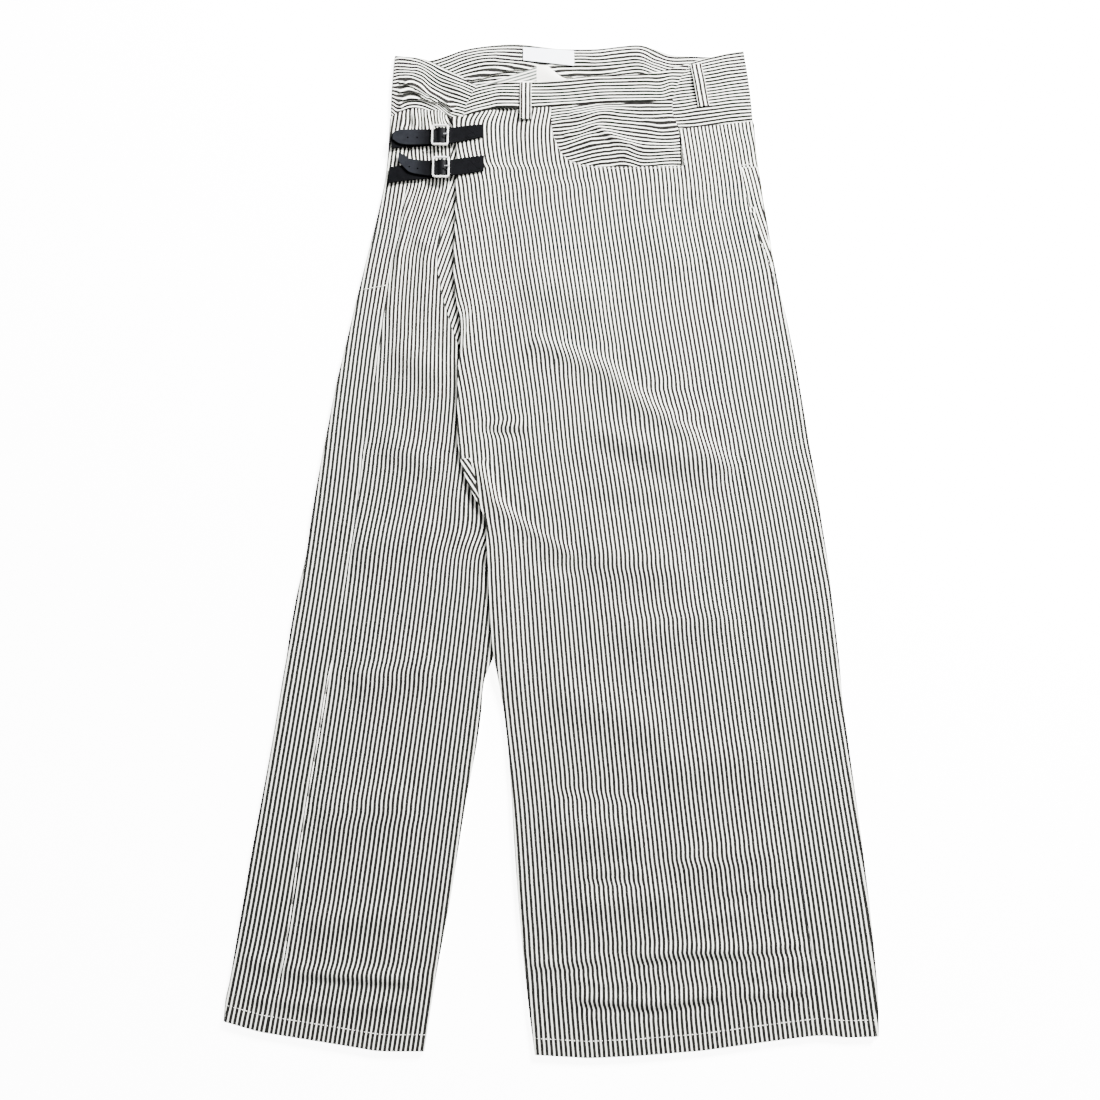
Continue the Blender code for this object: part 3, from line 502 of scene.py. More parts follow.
def back_left_grid():
    def inner(y):
        below = read(LEFT_LEG, "inner", y) + HALF + 1.2 + FOLD_TAIL + SEAM_GAP
        beside = read(RIGHT_LEG, "inner", y) + FOLD_EASE
        above = centre_back(y) + SEAM_GAP / 2
        leg = max(below, beside) if y > FORK_Y - 20 else below
        return leg + (above - leg) * smooth((y - CROTCH_Y - 2) / BLEND)

    return back_grid(LEFT_LEG, 1, LEFT_HEM, inner)


def back_right_grid():
    def inner(y):
        below = read(RIGHT_LEG, "inner", y) - HALF - 1.2 - FOLD_TAIL - SEAM_GAP
        above = centre_back(y) - SEAM_GAP / 2
        return below + (above - below) * smooth((y - CROTCH_Y - 2) / BLEND)

    return back_grid(RIGHT_LEG, -1, RIGHT_HEM, inner)


def through(low, mid, high, share):
    """A smooth line through three points, at a share of its way."""
    bend = 2.0 * (low - 2.0 * mid + high)
    return low + (high - low - bend) * share + bend * share * share


def band_point(rows, index, share):
    """A point of the tall band, at a share of its height from the lower edge."""
    x = through(rows["x_low"][index], rows["x_mid"][index], rows["x_top"][index], share)
    y = through(rows["y_low"][index], rows["y_mid"][index], rows["y_top"][index], share)
    return x, y


def spread(rows, steps):
    """A table with more rows: points read between its rows, along smooth curves."""
    count = len(rows["x_low"])
    places = np.linspace(0.0, count - 1.0, (count - 1) * steps + 1)
    table_of = {"place": np.arange(count, dtype=float), **rows}
    return {name: read(table_of, name, places) for name in rows}


def right_side_rows():
    """The tall band on the right front: its lower edge keeps to the panels' top edges."""
    side = [x for x, _, z in back_right_grid()[0] if z > FRONT_LAYER - 0.1]
    front = [x for x, _, _ in front_right_grid()[0]]
    x_low = np.array(side + front + [-100.0, -95.2])
    rows = {name: read(RIGHT_SIDE_BAND, name, x_low)
            for name in ("x_mid", "y_mid", "x_top", "y_top")}
    rows["x_low"] = x_low
    rows["y_low"] = line(WAIST_SEAM, "y", x_low)
    return rows


def inside_height(x, y):
    """Height of the waistband's inner face at the back."""
    return BACK_LAYER + relief(INSIDE_FOLDS, x, y) * smooth((y - 482.0) / 12.0)


def left_side_height(x, y):
    return FRONT_LAYER + relief(BAND_FOLDS, x, y) * smooth((216 - x) / 8.0)


def right_side_height(x, y):
    wrapped = WRAP_RISE * smooth((x + 125) / 30.0)
    return FRONT_LAYER + wrapped + relief(BAND_FOLDS, x, y) * smooth((x + 172) / 8.0)


def waistband_grid():
    """The tall band: from the side seam round the left side, the back and the right side."""
    radius = FOLD_RADIUS
    lengths = (
        (spread(LEFT_SIDE_BAND, 2), left_side_height),
        (spread(BACK_BAND, 2), inside_height),
        (right_side_rows(), right_side_height),
    )
    grid = []
    for rows, height_at in lengths:
        if grid:
            side = 1 if height_at is inside_height else -1
            turn = np.linspace(0, math.pi, 5)[1:-1]
            turn = turn if side > 0 else turn[::-1]
            last = grid[-1]
            for a in turn:
                z = BACK_LAYER + radius + radius * math.cos(a)
                grid.append([(x + side * radius * math.sin(a), y, z) for x, y, _ in last])
        for i in range(len(rows["x_low"])):
            points = [band_point(rows, i, share) for share in np.linspace(0.0, 1.0, 5)]
            grid.append([(x, y, height_at(x, y)) for x, y in points])
    return grid


def front_band_height(x, y):
    rise = (WRAP_RISE + BAND_RISE * smooth((x + 94) / 14.0)) * (1.0 - smooth((x + 60) / 50.0))
    return FRONT_LAYER + rise + relief(BAND_FOLDS, x, y) * smooth((130 - x) / 12.0)


def front_band_grid():
    """The narrow band: between the crease beside the wrap and the side seam."""
    rows = spread(FRONT_BAND, 2)
    crease = right_side_rows()
    last = len(rows["x_low"]) - 1
    grid = []
    for i, (x_low, x_top, y_top) in enumerate(zip(*rows.values())):
        row = []
        for share in np.linspace(0.0, 1.0, 5):
            low_y = line(WAIST_SEAM, "y", x_low)
            x = x_low + (x_top - x_low) * share
            y = low_y + (y_top - low_y) * share
            if i == 0:
                x, y = band_point(crease, len(crease["x_low"]) - 1, share)
                x += SEAM_GAP
            if i == last:
                x, y = band_point(LEFT_SIDE_BAND, 0, 0.5 + share / 2)
                x -= SEAM_GAP
                y = max(y, low_y)
            row.append((x, y, front_band_height(x, y)))
        grid.append(row)
    return grid


def side_limit(y):
    """The tall band's front edge, which the facing stops short of."""
    points = [band_point(LEFT_SIDE_BAND, 0, share) for share in np.linspace(0.0, 0.5, 9)]
    return np.interp(y, [p[1] for p in points], [p[0] for p in points]) - 2 * SEAM_GAP


def facing_grid():
    """The pocket facing inside the scoop, up to the waistband and across to the side seam."""
    grid = []
    last = SCOOP["x"][-1]
    for x, scoop_y in zip(SCOOP["x"], SCOOP["y"]):
        row = []
        high = line(WAIST_SEAM, "y", x) - SEAM_GAP
        low = min(scoop_y, high - CLOTH)
        for share in np.linspace(0.0, 1.0, 6):
            y = low + (high - low) * share
            place = x
            if x == last:
                place = min(read(LEFT_LEG, "seam", y) - SEAM_GAP, side_limit(y))
            row.append((place, y, FRONT_LAYER + relief(FACING_FOLDS, place, y)))
        grid.append(row)
    return grid


def label_grid():
    """The blank label on the inner face of the band."""
    gap = HALF + 2 * SEAM_GAP + LABEL / 2
    grid = []
    for share in np.linspace(0.0, 1.0, 7):
        x = -30.0 + 56.0 * share
        low = 499.0 - 7.0 * share
        high = 515.5 - 4.5 * share
        grid.append([(x, y, inside_height(x, y) + gap) for y in np.linspace(low, high, 4)])
    return grid


def inner_facing_grid():
    """The facing that stands up inside the waist, behind the front band, with a hump in it."""
    grid = []
    for x, top in zip(*INSIDE_TOP.values()):
        front = line(FRONT_BAND_TOP, "y", x) + 2 * SEAM_GAP
        hump = INSIDE_HUMP * smooth(1.0 - abs(x - INSIDE_HUMP_X) / INSIDE_HUMP_REACH)
        row = []
        for share in np.linspace(0.0, 1.0, 5):
            lift = hump * math.sin(math.pi * (0.1 + 0.8 * share))
            row.append((x, front + (top - front) * share, BACK_LAYER + CLOTH + SEAM_GAP + lift))
        grid.append(row)
    return grid


def loop_grid(foot, head, height_at):
    """A belt loop lying over the band, a little proud of it between its sewn ends."""
    foot, head = np.array(foot), np.array(head)
    along = head - foot
    across = np.array([along[1], -along[0]]) / np.hypot(*along) * LOOP_WIDTH / 2
    grid = []
    for share in np.linspace(0.0, 1.0, 9):
        centre = foot + along * share
        lift = HALF + SEAM_GAP + LEATHER / 2 + LOOP_LIFT * math.sin(math.pi * share)
        row = []
        for side in (-1, 0, 1):
            x, y = centre + across * side
            row.append((x, y, height_at(x, y) + lift))
        grid.append(row)
    return grid


def front_loop_height(x, y):
    foot = line(WAIST_SEAM, "y", x)
    on_band = front_band_height(x, max(y, foot))
    on_panel = left_height(x, foot - 4, read(LEFT_LEG, "inner", foot - 4))
    return max(on_band, on_panel)


def side_loop_height(x, y):
    return FRONT_LAYER + relief(BAND_FOLDS, x, y)


def strap_grid(rows, rise_at, flat_z):
    """A strap or its anchor: it climbs over the buckle's bar where rise_at is given."""
    count = len(rows["x"])
    places = {"place": np.arange(count, dtype=float), **rows}
    grid = []
    for place in np.linspace(0.0, count - 1.0, (count - 1) * 3 + 1):
        x, low, high = (read(places, name, place) for name in ("x", "low", "high"))
        z = flat_z
        if rise_at is not None:
            z += STRAP_RISE * (1 - smooth((abs(x - rise_at) - BAR_WIRE) / STRAP_CLIMB))
        grid.append([(x, y, z) for y in np.linspace(low, high, 3)])
    return grid


# The stripes: their repeat, and how much of it the dark line takes
PITCH = 4.2
LINE_SHARE = 0.645
# Painted shade: the right leg's lines take more of the repeat, so that leg reads darker
RIGHT_SHADED_LINE_SHARE = 0.68
BAND_LINE_SHARE = 0.73
# How much more of it, for each millimetre nearer to the hems: painted shade where light falls off
HEM_SHADE_WIDENING = 0.00007

# Where chosen stripes run on the left leg: the x of stripe 8, 24, 40, 56 and 72 at each height
LEFT_STRIPES = table(
    "at s8 s24 s40 s56 s72",
    (435, -104, -22, 47, 114, 180), (410, -99, -25, 45, 117, 182),
    (390, -97, -24.5, 46, 119, 184.5), (370, -93, -22.5, 48.5, 121, 186.5),
    (350, -88, -17.5, 52, 122.5, 188.5), (320, -84, -14.5, 55, 124, 190.5),
    (290, -78.5, -10, 58, 127, 194.5), (250, -72.5, -5, 63, 132, 201),
    (200, -63.5, 2.5, 68.5, 137, 206.5), (150, -57, 12, 75, 143.5, 212.5),
    (100, -49, 18, 83.5, 149.5, 218), (50, -43.5, 22.5, 91, 158.5, 224),
    (0, -37.5, 29.5, 98, 164.5, 231.5), (-50, -29.5, 35.5, 103.5, 170.5, 238),
    (-100, -25.5, 41, 108, 175, 243.5), (-200, -17.5, 50, 117.5, 185, 251.5),
    (-300, -6.5, 59, 126.5, 194, 261.5), (-400, 2, 69, 136, 203, 272),
    (-520, 12, 79, 146.5, 214, 282),
)
# The same on the right front: stripes 10, 20, 30 and 38
RIGHT_STRIPES = table(
    "at s10 s20 s30 s38",
    (435, -150, -113, -72, -40), (400, -149, -108, -67, -34), (370, -146, -106, -64, -31),
    (350, -143, -104.5, -63, -30), (320, -149, -109.5, -68, -35), (290, -155.5, -117.5, -77, -43),
    (265, -161, -123, -82, -49), (240, -163, -124, -83, -50), (200, -164.5, -125, -84.5, -51),
    (150, -164.5, -125, -84.5, -52), (100, -165.5, -124.5, -84, -51), (50, -169, -127.5, -87, -54),
    (20, -172, -129.5, -89.5, -58), (0, -174, -131.5, -91.5, -58.5),
    (-40, -179.5, -137, -94, -59.5), (-60, -182, -139.5, -98.5, -66.5),
    (-100, -185.5, -143.5, -102, -69.5), (-200, -195, -153.5, -112, -79),
    (-300, -206, -165, -123, -90), (-400, -217, -176, -134, -101.5),
    (-520, -231.5, -190.5, -149.5, -116.5),
)
# And on the strip of the right back that shows beside the outer fold: stripes 0 and 5
RIGHT_SIDE_STRIPES = table(
    "at s0 s5",
    (435, -176, -155), (350, -184, -163), (290, -191, -170), (250, -197, -176), (200, -203, -182),
    (100, -211.5, -190.5), (0, -218, -196.5), (-100, -227, -206), (-200, -238, -216.5),
    (-300, -249.5, -228.5), (-400, -261, -240), (-520, -278.5, -257.5),
)

# Small shifts of the stripes where the cloth is pushed: centre, reach both ways and shift
LEFT_SHIFTS = table(
    PUSH,
    (-48, 66, 20, 6, 2.4), (-40, 80, 18, 7, -1), (-80, 437, 26, 13, -9), (-60, 362, 50, 5, -1.4),
    (20, 352, 40, 6, 0.9), (120, 110, 26, 8, 1.4), (130, 84, 30, 8, -1.2), (70, -76, 60, 8, 1.2),
    (120, -128, 50, 8, -1), (150, -352, 50, 7, 1.1), (110, -432, 110, 6, 1.2),
    (110, -460, 110, 6, -0.8),
)
# Creases that the stripes bend across, with how far they are pushed apart
LEFT_BENDS = table(
    RIDGE,
    (-20, 164, 9.8, 154, 24, 1.87), (9.8, 154, 58.7, 132, 24, 2.89),
    (58.7, 132, 86.7, 101.7, 24, 3.06), (86.7, 101.7, 114.6, 80, 24, 3.06),
    (114.6, 80, 142, 60, 24, 2.72), (142, 60, 184, 23, 24, 2.04),
    (-73.4, 30.3, -64.2, 12.5, 15, 2.21), (-64.2, 12.5, -54, -10.3, 15, 2.38),
    (-54, -10.3, -38, -23.7, 15, 2.38), (-38, -23.7, -18.2, -39, 15, 2.21),
    (-18.2, -39, 24, -62.3, 14, 1.6), (0, -290, 90, -300, 14, 1.2), (110, -356, 214, -345, 14, 1),
    (23, -476, 90, -481, 8, 1.2), (90, -481, 155, -473, 8, 1.2), (169, -474, 237, -469, 8, 1),
    (73, -442, 127, -436, 8, 1.1), (127, -436, 170, -437, 8, 1.1), (170, -437, 228, -431, 8, 1.1),
    (-17, -446, 48, -442, 8, 1), (151, -386, 217, -375, 8, 0.9), (27, -370, 89, -374, 8, 0.9),
)
RIGHT_SHIFTS = table(
    PUSH,
    (-113, 426, 8, 12, 6), (-150, 420, 12, 10, -1.6), (-132, 430, 10, 10, 1.4),
    (-150, 300, 16, 14, 1), (-125, 270, 14, 10, -1), (-150, 40, 40, 10, 1), (-150, -180, 50, 8, 1),
    (-170, -310, 50, 8, -1), (-170, -450, 50, 6, 1.2),
)
# On the pocket facing: the y of stripe 0, 3, 6, 9, 12 and 16 at each x
FACING_STRIPES = table(
    "at s0 s3 s6 s9 s12 s16",
    (0, 430.1, 419, 406.4, 392.2, 378.2, 361.2), (10, 431.5, 420.7, 406.6, 392.4, 378.2, 361.2),
    (21, 432.5, 421.8, 407.8, 395.6, 380.7, 363.1), (32, 434.5, 423.3, 410, 399.5, 384.3, 365.5),
    (43, 437.1, 426.9, 414.2, 402.9, 387.4, 369), (54, 439.4, 430.3, 417.5, 404.6, 389.6, 371.3),
    (64, 440.3, 431, 417.1, 405.4, 391.3, 372.1), (75, 440, 429.6, 415.7, 402.7, 391.8, 373.8),
    (86, 440.9, 428.6, 414.9, 400.5, 388.6, 372.1), (97, 440.8, 427.4, 413.6, 399.1, 384.9, 368.4),
    (108, 441.2, 427, 412.1, 397.9, 383.7, 368.7), (118, 441, 427.4, 410, 397, 384.3, 369.8),
    (129, 441.2, 428.4, 410.4, 396.8, 385.6, 370.6),
    (146, 441.8, 429.8, 413.4, 399.2, 387.6, 370.6),
)
# On the band beside the wrap: the y of stripe 0, 3, 6, 8, 10, 12 and 14 at each x
WRAP_BAND_STRIPES = table(
    "at s0 s3 s6 s8 s10 s12 s14",
    (-176, 502.3, 489.1, 476.5, 467.4, 457.5, 447.5, 437.1),
    (-164, 502.4, 489.7, 478.6, 469.2, 456.5, 445.8, 436.5),
    (-153, 500.7, 488.9, 478.2, 469.9, 459, 448.6, 440.2),
    (-142, 496.9, 486.4, 472.6, 463.4, 456.5, 448.8, 440.2),
    (-132, 491.4, 478.2, 463.6, 455.8, 449.6, 444, 436.5),
    (-121, 484.6, 469.8, 456.7, 448.7, 443.3, 437.7, 430.9),
    (-110, 478.6, 465, 450.5, 441.1, 433.4, 427.2, 418.5),
    (-99, 472.9, 460.5, 446.3, 437.4, 429.7, 421, 413.6),
    (-78, 463.3, 450.7, 438.3, 430.5, 422.9, 415, 405.7),
)

BAND_SHIFTS = table(
    PUSH,
    (-60, 452, 22, 12, -1.4), (20, 462, 30, 12, 1.6), (60, 452, 26, 10, -1.2),
    (120, 466, 10, 14, 2), (132, 462, 6, 14, -2), (160, 440, 14, 16, 2), (184, 470, 16, 14, -1.2),
)
INSIDE_SHIFTS = table(
    PUSH,
    (-80, 500, 26, 14, 2.2), (-20, 494, 22, 12, -2.6), (30, 500, 18, 12, 2.2),
    (78, 508, 26, 12, 1.8), (120, 500, 24, 12, -2.2), (160, 498, 18, 12, 1.2),
)

# Creases of the band beside the wrap, and of its inner face behind the front band
WRAP_BAND_CREASES = table(
    RIDGE,
    (-166, 470, -158, 474, 5, 1.56), (-160, 474, -142, 463, 5, 2.6),
    (-142, 463, -127, 455, 5, 2.86), (-127, 455, -113, 447, 5, 2.86),
    (-113, 447, -106, 436, 5, 2.34), (-167, 459, -148, 461, 4, 2.08),
    (-148, 461, -132, 452, 4, 1.82), (-164, 449, -140, 452, 4, 1.95),
    (-140, 452, -122, 445, 4, 1.69), (-168, 490, -150, 488, 12, 0.8), (-130, 486, -96, 466, 9, 0.8),
    (-166, 447, -161, 437, 4, 1.04),
)
INSIDE_CREASES = table(
    RIDGE,
    (-90, 476, -77, 480, 4, 1.8), (-77, 480, -55.5, 488, 4, 2.4), (-55.5, 488, -39, 491.5, 4, 2.4),
    (-39, 491.5, -22.5, 491, 4, 2), (-22.5, 491, -11.5, 493.5, 3, 1.5),
    (-11.5, 493.5, -3.8, 493, 3, 1.5), (-3.8, 493, 3, 487.5, 3, 1.5), (3, 487.5, 10.5, 484, 4, 2),
    (10.5, 484, 27, 480.5, 4, 2), (27, 480.5, 76, 487, 4, 1.4), (-60, 500, -30, 504, 9, 1),
    (40, 500, 90, 504, 9, 1), (90, 504, 120, 500, 9, 1),
)
# How far the creases of the tall band lean over towards the hems, for each unit of height
CREASE_LEAN = 1.9
FRONT_BAND_CREASES = table(
    RIDGE,
    (-90, 431, -60, 437, 4, 1.1), (-60, 437, -34, 440.5, 4, 1.1), (-19, 442, 20, 443, 4, 0.9),
    (20, 443, 70, 446, 4, 0.7), (70, 446, 118, 448, 4, 1.1), (-70, 462, -40, 464, 6, -0.6),
    (0, 470, 60, 476, 8, 0.6), (60, 462, 120, 470, 8, -0.5),
)
FACING_CREASES = table(
    RIDGE,
    (14, 402, 37, 412.5, 6, 2), (37, 412.5, 50, 413.5, 6, 2.2), (50, 413.5, 66.5, 400, 6, 2.2),
    (66.5, 400, 96, 388, 7, 1.8), (96, 388, 130, 386, 8, 1.2), (60, 404, 64, 380, 6, -1),
    (22, 428, 52, 431, 8, 1.4), (52, 431, 84, 438, 8, 1.2), (74, 374, 70, 366, 4, -1),
    (78, 376, 88, 392, 6, 1.6), (100, 420, 136, 424, 8, 1.2), (20, 388, 48, 396, 7, 1.2),
)

# Finer creases than the solids hold: both ends, the width and the height of each, and how deep
# one may go before the layer under it would show through
DEEPEST = -1.4
LEFT_CREASES = table(
    RIDGE,
    (-70, 73, -20, 70, 6, 1.6), (-66, 62, -24, 58, 8, -1.2), (-86, 196, -92, 150, 4, 0.9),
    (-72, 364, 20, 364, 4, 0.9), (204, 364, 207, 330, 4, 1), (209, 332, 214, 312, 3, -1.6),
    (214, 312, 231, 245, 4, 1), (-30, 230, 60, 205, 40, 3.9), (-20, 164, 9.8, 154, 18, 2.7),
    (9.8, 154, 58.7, 132, 18, 2.7), (58.7, 132, 86.7, 101.7, 18, 2.88),
    (86.7, 101.7, 114.6, 80, 18, 2.88), (114.6, 80, 142, 60, 18, 2.7), (142, 60, 184, 23, 18, 2.34),
    (-73.4, 30.3, -64.2, 12.5, 10, 2.2), (-64.2, 12.5, -54, -10.3, 10, 2.2),
    (-54, -10.3, -38, -23.7, 10, 2.2), (-38, -23.7, -18.2, -39, 9, 2),
    (-18.2, -39, 24, -62.3, 10, 1.6), (19.4, -2.5, 68.8, -15.9, 16, -1.6),
    (68.8, -15.9, 138.3, -12.8, 16, -1.6), (-17, -72, 24, -81, 14, -1.5),
    (39.7, 55.3, 89.4, 23.6, 16, -1.5), (89.4, 23.6, 168, -7.7, 16, -1.5),
    (40, 62, 166, 30, 22, 3.3), (-60, 10, 40, 24, 22, -2.1), (100, 300, 140, 240, 40, 2.4),
    (30, -60, 140, -84, 34, 3.9), (60, -146, 180, -120, 34, 3.6), (0, -200, 110, -236, 32, 3.9),
    (100, -270, 200, -256, 34, 3.3), (-6, -322, 90, -330, 30, 3.3), (110, -356, 214, -345, 28, 2.7),
    (20, -392, 120, -384, 20, 3), (23, -470, 90, -475, 9, 2.6), (90, -475, 155, -467, 9, 2.6),
    (23, -478, 90, -483, 5, -1.2), (90, -483, 155, -475, 5, -1.2), (169, -468, 237, -463, 8, 2),
    (-17, -440, 5, -442, 7, 1.6), (5, -442, 48, -436, 7, 1.8), (16, -452, 48, -460, 6, 1.5),
    (48, -460, 76, -458, 6, 1.3), (73, -436, 127, -430, 9, 2.4), (127, -430, 170, -431, 9, 2.6),
    (170, -431, 228, -425, 9, 2.2), (73, -444, 170, -439, 5, -1.1), (177, -455, 213, -440, 7, 1.8),
    (213, -440, 252, -442, 7, 1.5), (128, -408, 179, -396, 9, 1.6), (151, -380, 217, -369, 9, 1.6),
    (27, -364, 74, -360, 8, 1.4), (74, -360, 89, -369, 8, 1.4),
)
RIGHT_CREASES = table(
    RIDGE,
    (-163, 426, -160, 408, 4, 1.3), (-154, 430, -153, 410, 3, -0.7), (-148, 432, -147, 412, 4, 1.4),
    (-141, 430, -141, 410, 3, -0.7), (-134, 428, -134, 410, 4, 1.2),
    (-127, 428, -128, 410, 3, -0.7), (-121, 426, -119, 408, 4, 1.4), (-155, 337, -152, 310, 6, 1.4),
    (-152, 310, -161, 255, 6, 1.6), (-161, 255, -166, 186, 7, 1.2), (-170, 330, -172, 200, 8, -0.8),
    (-146, 281, -116, 266, 7, 1.4), (-129, 349, -104, 330, 9, -1.4),
    (-110, 430, -103, 412, 4, -1.8), (-116, 424, -108, 402, 4, 1), (-82, 14, -76, -46, 8, -1.2),
    (-100, -40, -70, -60, 8, 1), (-160, 160, -110, 120, 26, 3.3), (-170, 60, -110, 20, 24, 3),
    (-200, -60, -110, -40, 34, 3.3), (-190, -190, -110, -170, 34, 3.3),
    (-215, -320, -130, -296, 34, 3.3), (-112, 348, -107, 300, 8, -1.2),
    (-222, -408, -130, -400, 20, 2.6), (-276, -436, -224, -448, 10, 2),
    (-224, -448, -117, -456, 10, 2.4), (-224, -456, -117, -464, 6, -1.1),
    (-270, -470, -196, -478, 8, 1.6), (-196, -478, -118, -477, 8, 1.6),
)
# The mouth of the pocket beside the left leg's outer fold
POCKET_MOUTH = table("x y", (203.5, 366.5), (203.9, 350), (206.5, 334), (210.5, 312), (217, 285),
                     (231, 247), (233.5, 236))
# The small triangle of cloth turned under at the crotch: its crease, and the run of its stripes
TURNED = (-78.5, 38, -68, -10)
TURNED_LEAN = 0.66
TURNED_PACE = 0.8
# Cloth pinched beside a crease: the crease, how much closer the stripes lie and how far it reaches
PINCHED = (-80.4, 198, -92, 146)
PINCHED_CLOSER = 0.6
PINCHED_REACH = 11


def refined(grid, row_steps, column_steps):
    """A grid with more rows and columns, on a smooth surface through the same points."""
    points = np.array(grid, float)
    for axis, steps in ((0, row_steps), (1, column_steps)):
        points = np.moveaxis(points, axis, 0)
        count = len(points)
        places = np.linspace(0.0, count - 1.0, (count - 1) * steps + 1)
        i = np.clip(places.astype(int), 0, count - 2)
        t = (places - i).reshape(-1, *([1] * (points.ndim - 1)))
        before = points[np.maximum(i - 1, 0)]
        after = points[np.minimum(i + 2, count - 1)]
        a, b = points[i], points[i + 1]
        span_a, span_b = (b - before) / 2, (after - a) / 2
        points = ((2 * t**3 - 3 * t**2 + 1) * a + (t**3 - 2 * t**2 + t) * span_a
                  + (3 * t**2 - 2 * t**3) * b + (t**3 - t**2) * span_b)
        points = np.moveaxis(points, 0, axis)
    return points


def across(points, from_last=False):
    """The x that each point would have with its row rolled out flat, from one end of the row."""
    line_points = points[:, ::-1] if from_last else points
    step = np.diff(line_points, axis=1)
    way = np.sign(step[:, :1, 0])
    turned = (step[..., 0] * way < 0) | (np.abs(step[..., 2]) > 0.5 * np.abs(step[..., 0]))
    length = np.where(turned, np.hypot(step[..., 0], step[..., 2]), np.abs(step[..., 0]))
    rolled = line_points[:, :1, 0] + way * np.concatenate(
        [np.zeros((len(points), 1)), np.cumsum(length, axis=1)], axis=1)
    return rolled[:, ::-1] if from_last else rolled


def beside(x, y, x1, y1, x2, y2):
    """How far left of a crease a point lies, and its share along the crease."""
    share = (y - y1) / (y2 - y1)
    return x1 + (x2 - x1) * share - x, share


def pinched_stripes(x, y, u):
    """The stripes, drawn closer together in the wedge beside the wrap's crease."""
    off, share = beside(x, y, *PINCHED)
    fade = smooth(share + 0.35) * smooth((1.15 - share) / 0.3)
    return u - PINCHED_CLOSER * np.clip(off, 0.0, PINCHED_REACH) * fade


def turned_stripes(x, y):
    """Where the turned triangle lies, and the stripes on it."""
    off, share = beside(x, y, *TURNED)
    return (off > 0) & (share > 0) & (share < 1), TURNED_PACE * (x + TURNED_LEAN * y)


def edge_calm(points, reach=6.0):
    """0 at the edges of a piece and 1 a little way in, so that creases fade out at its seams."""
    calm = 1.0
    for axis in (0, 1):
        step = np.linalg.norm(np.diff(points, axis=axis), axis=2)
        start = np.zeros_like(np.take(step, [0], axis))
        length = np.concatenate([start, np.cumsum(step, axis=axis)], axis=axis)
        calm = calm * smooth(length / reach) * smooth((np.take(length, [-1], axis) - length) / reach)
    return calm


def creased(creases, x, y, sideways=False):
    """How far a table of creases lifts the cloth, or pushes its stripes apart sideways.

    Rows that meet end to end make one crease.
    """
    rows = list(zip(*creases.values()))
    lift = run = run_off = np.zeros(np.shape(x))
    for k, (x1, y1, x2, y2, width, height) in enumerate(rows):
        follows = k > 0 and rows[k - 1][2:4] == (x1, y1)
        goes_on = k + 1 < len(rows) and rows[k + 1][:2] == (x2, y2)
        dx, dy = x2 - x1, y2 - y1
        share = ((x - x1) * dx + (y - y1) * dy) / (dx * dx + dy * dy)
        nearest = np.clip(share, 0.0, 1.0)
        off = np.hypot(x - x1 - nearest * dx, y - y1 - nearest * dy)
        fade = 1.0 if follows else smooth(4.0 * share + 0.3)
        fade = fade * (1.0 if goes_on else smooth(4.0 * (1.0 - share) + 0.3))
        rise = height * np.exp(-((1.6 * off / width) ** 2)) * fade
        if sideways:
            rise = rise * 2.0 * off / width * np.sign((y - y1) * dx - (x - x1) * dy)
        better = off < run_off if sideways else np.abs(rise) > np.abs(run)
        run = np.where(better, rise, run) if follows else rise
        run_off = np.where(better, off, run_off) if follows else off
        if not goes_on:
            lift = lift + run
    return lift


def shifted(shifts, x, y):
    """How far the stripes are pushed aside at a point."""
    push = 0.0
    for x0, y0, reach_x, reach_y, shift in zip(*shifts.values()):
        push = push + shift * np.exp(-((x - x0) / reach_x) ** 2 - ((y - y0) / reach_y) ** 2)
    return push


def stripe_place(stripes, over, along):
    """How far across the stripes a point is, in millimetres of cloth."""
    names = [name for name in stripes if name != "at"]
    numbers = np.array([float(name[1:]) for name in names])
    lines = np.array([read(stripes, name, along) for name in names])
    place = np.full(np.shape(over), np.nan)
    for k in range(len(numbers) - 1):
        share = (over - lines[k]) / (lines[k + 1] - lines[k])
        inside = (share >= 0 if k else True) & (share <= 1 if k < len(numbers) - 2 else True)
        place = np.where(inside, numbers[k] + share * (numbers[k + 1] - numbers[k]), place)
    return place * PITCH


def new_piece(name, vertices, faces):
    """A piece from its points in metres and its faces, riding on the one body."""
    data = bpy.data.meshes.new(name)
    data.from_pydata(vertices, [], faces)
    data.validate()
    piece = bpy.data.objects.new(name, data)
    bpy.context.scene.collection.objects.link(piece)
    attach(piece, "root")
    return piece


def face_outwards(data):
    """Turns every face of a closed mesh outwards and shades it smooth."""
    mesh = bmesh.new()
    mesh.from_mesh(data)
    bmesh.ops.recalc_face_normals(mesh, faces=mesh.faces)
    mesh.to_mesh(data)
    mesh.free()
    data.shade_smooth()


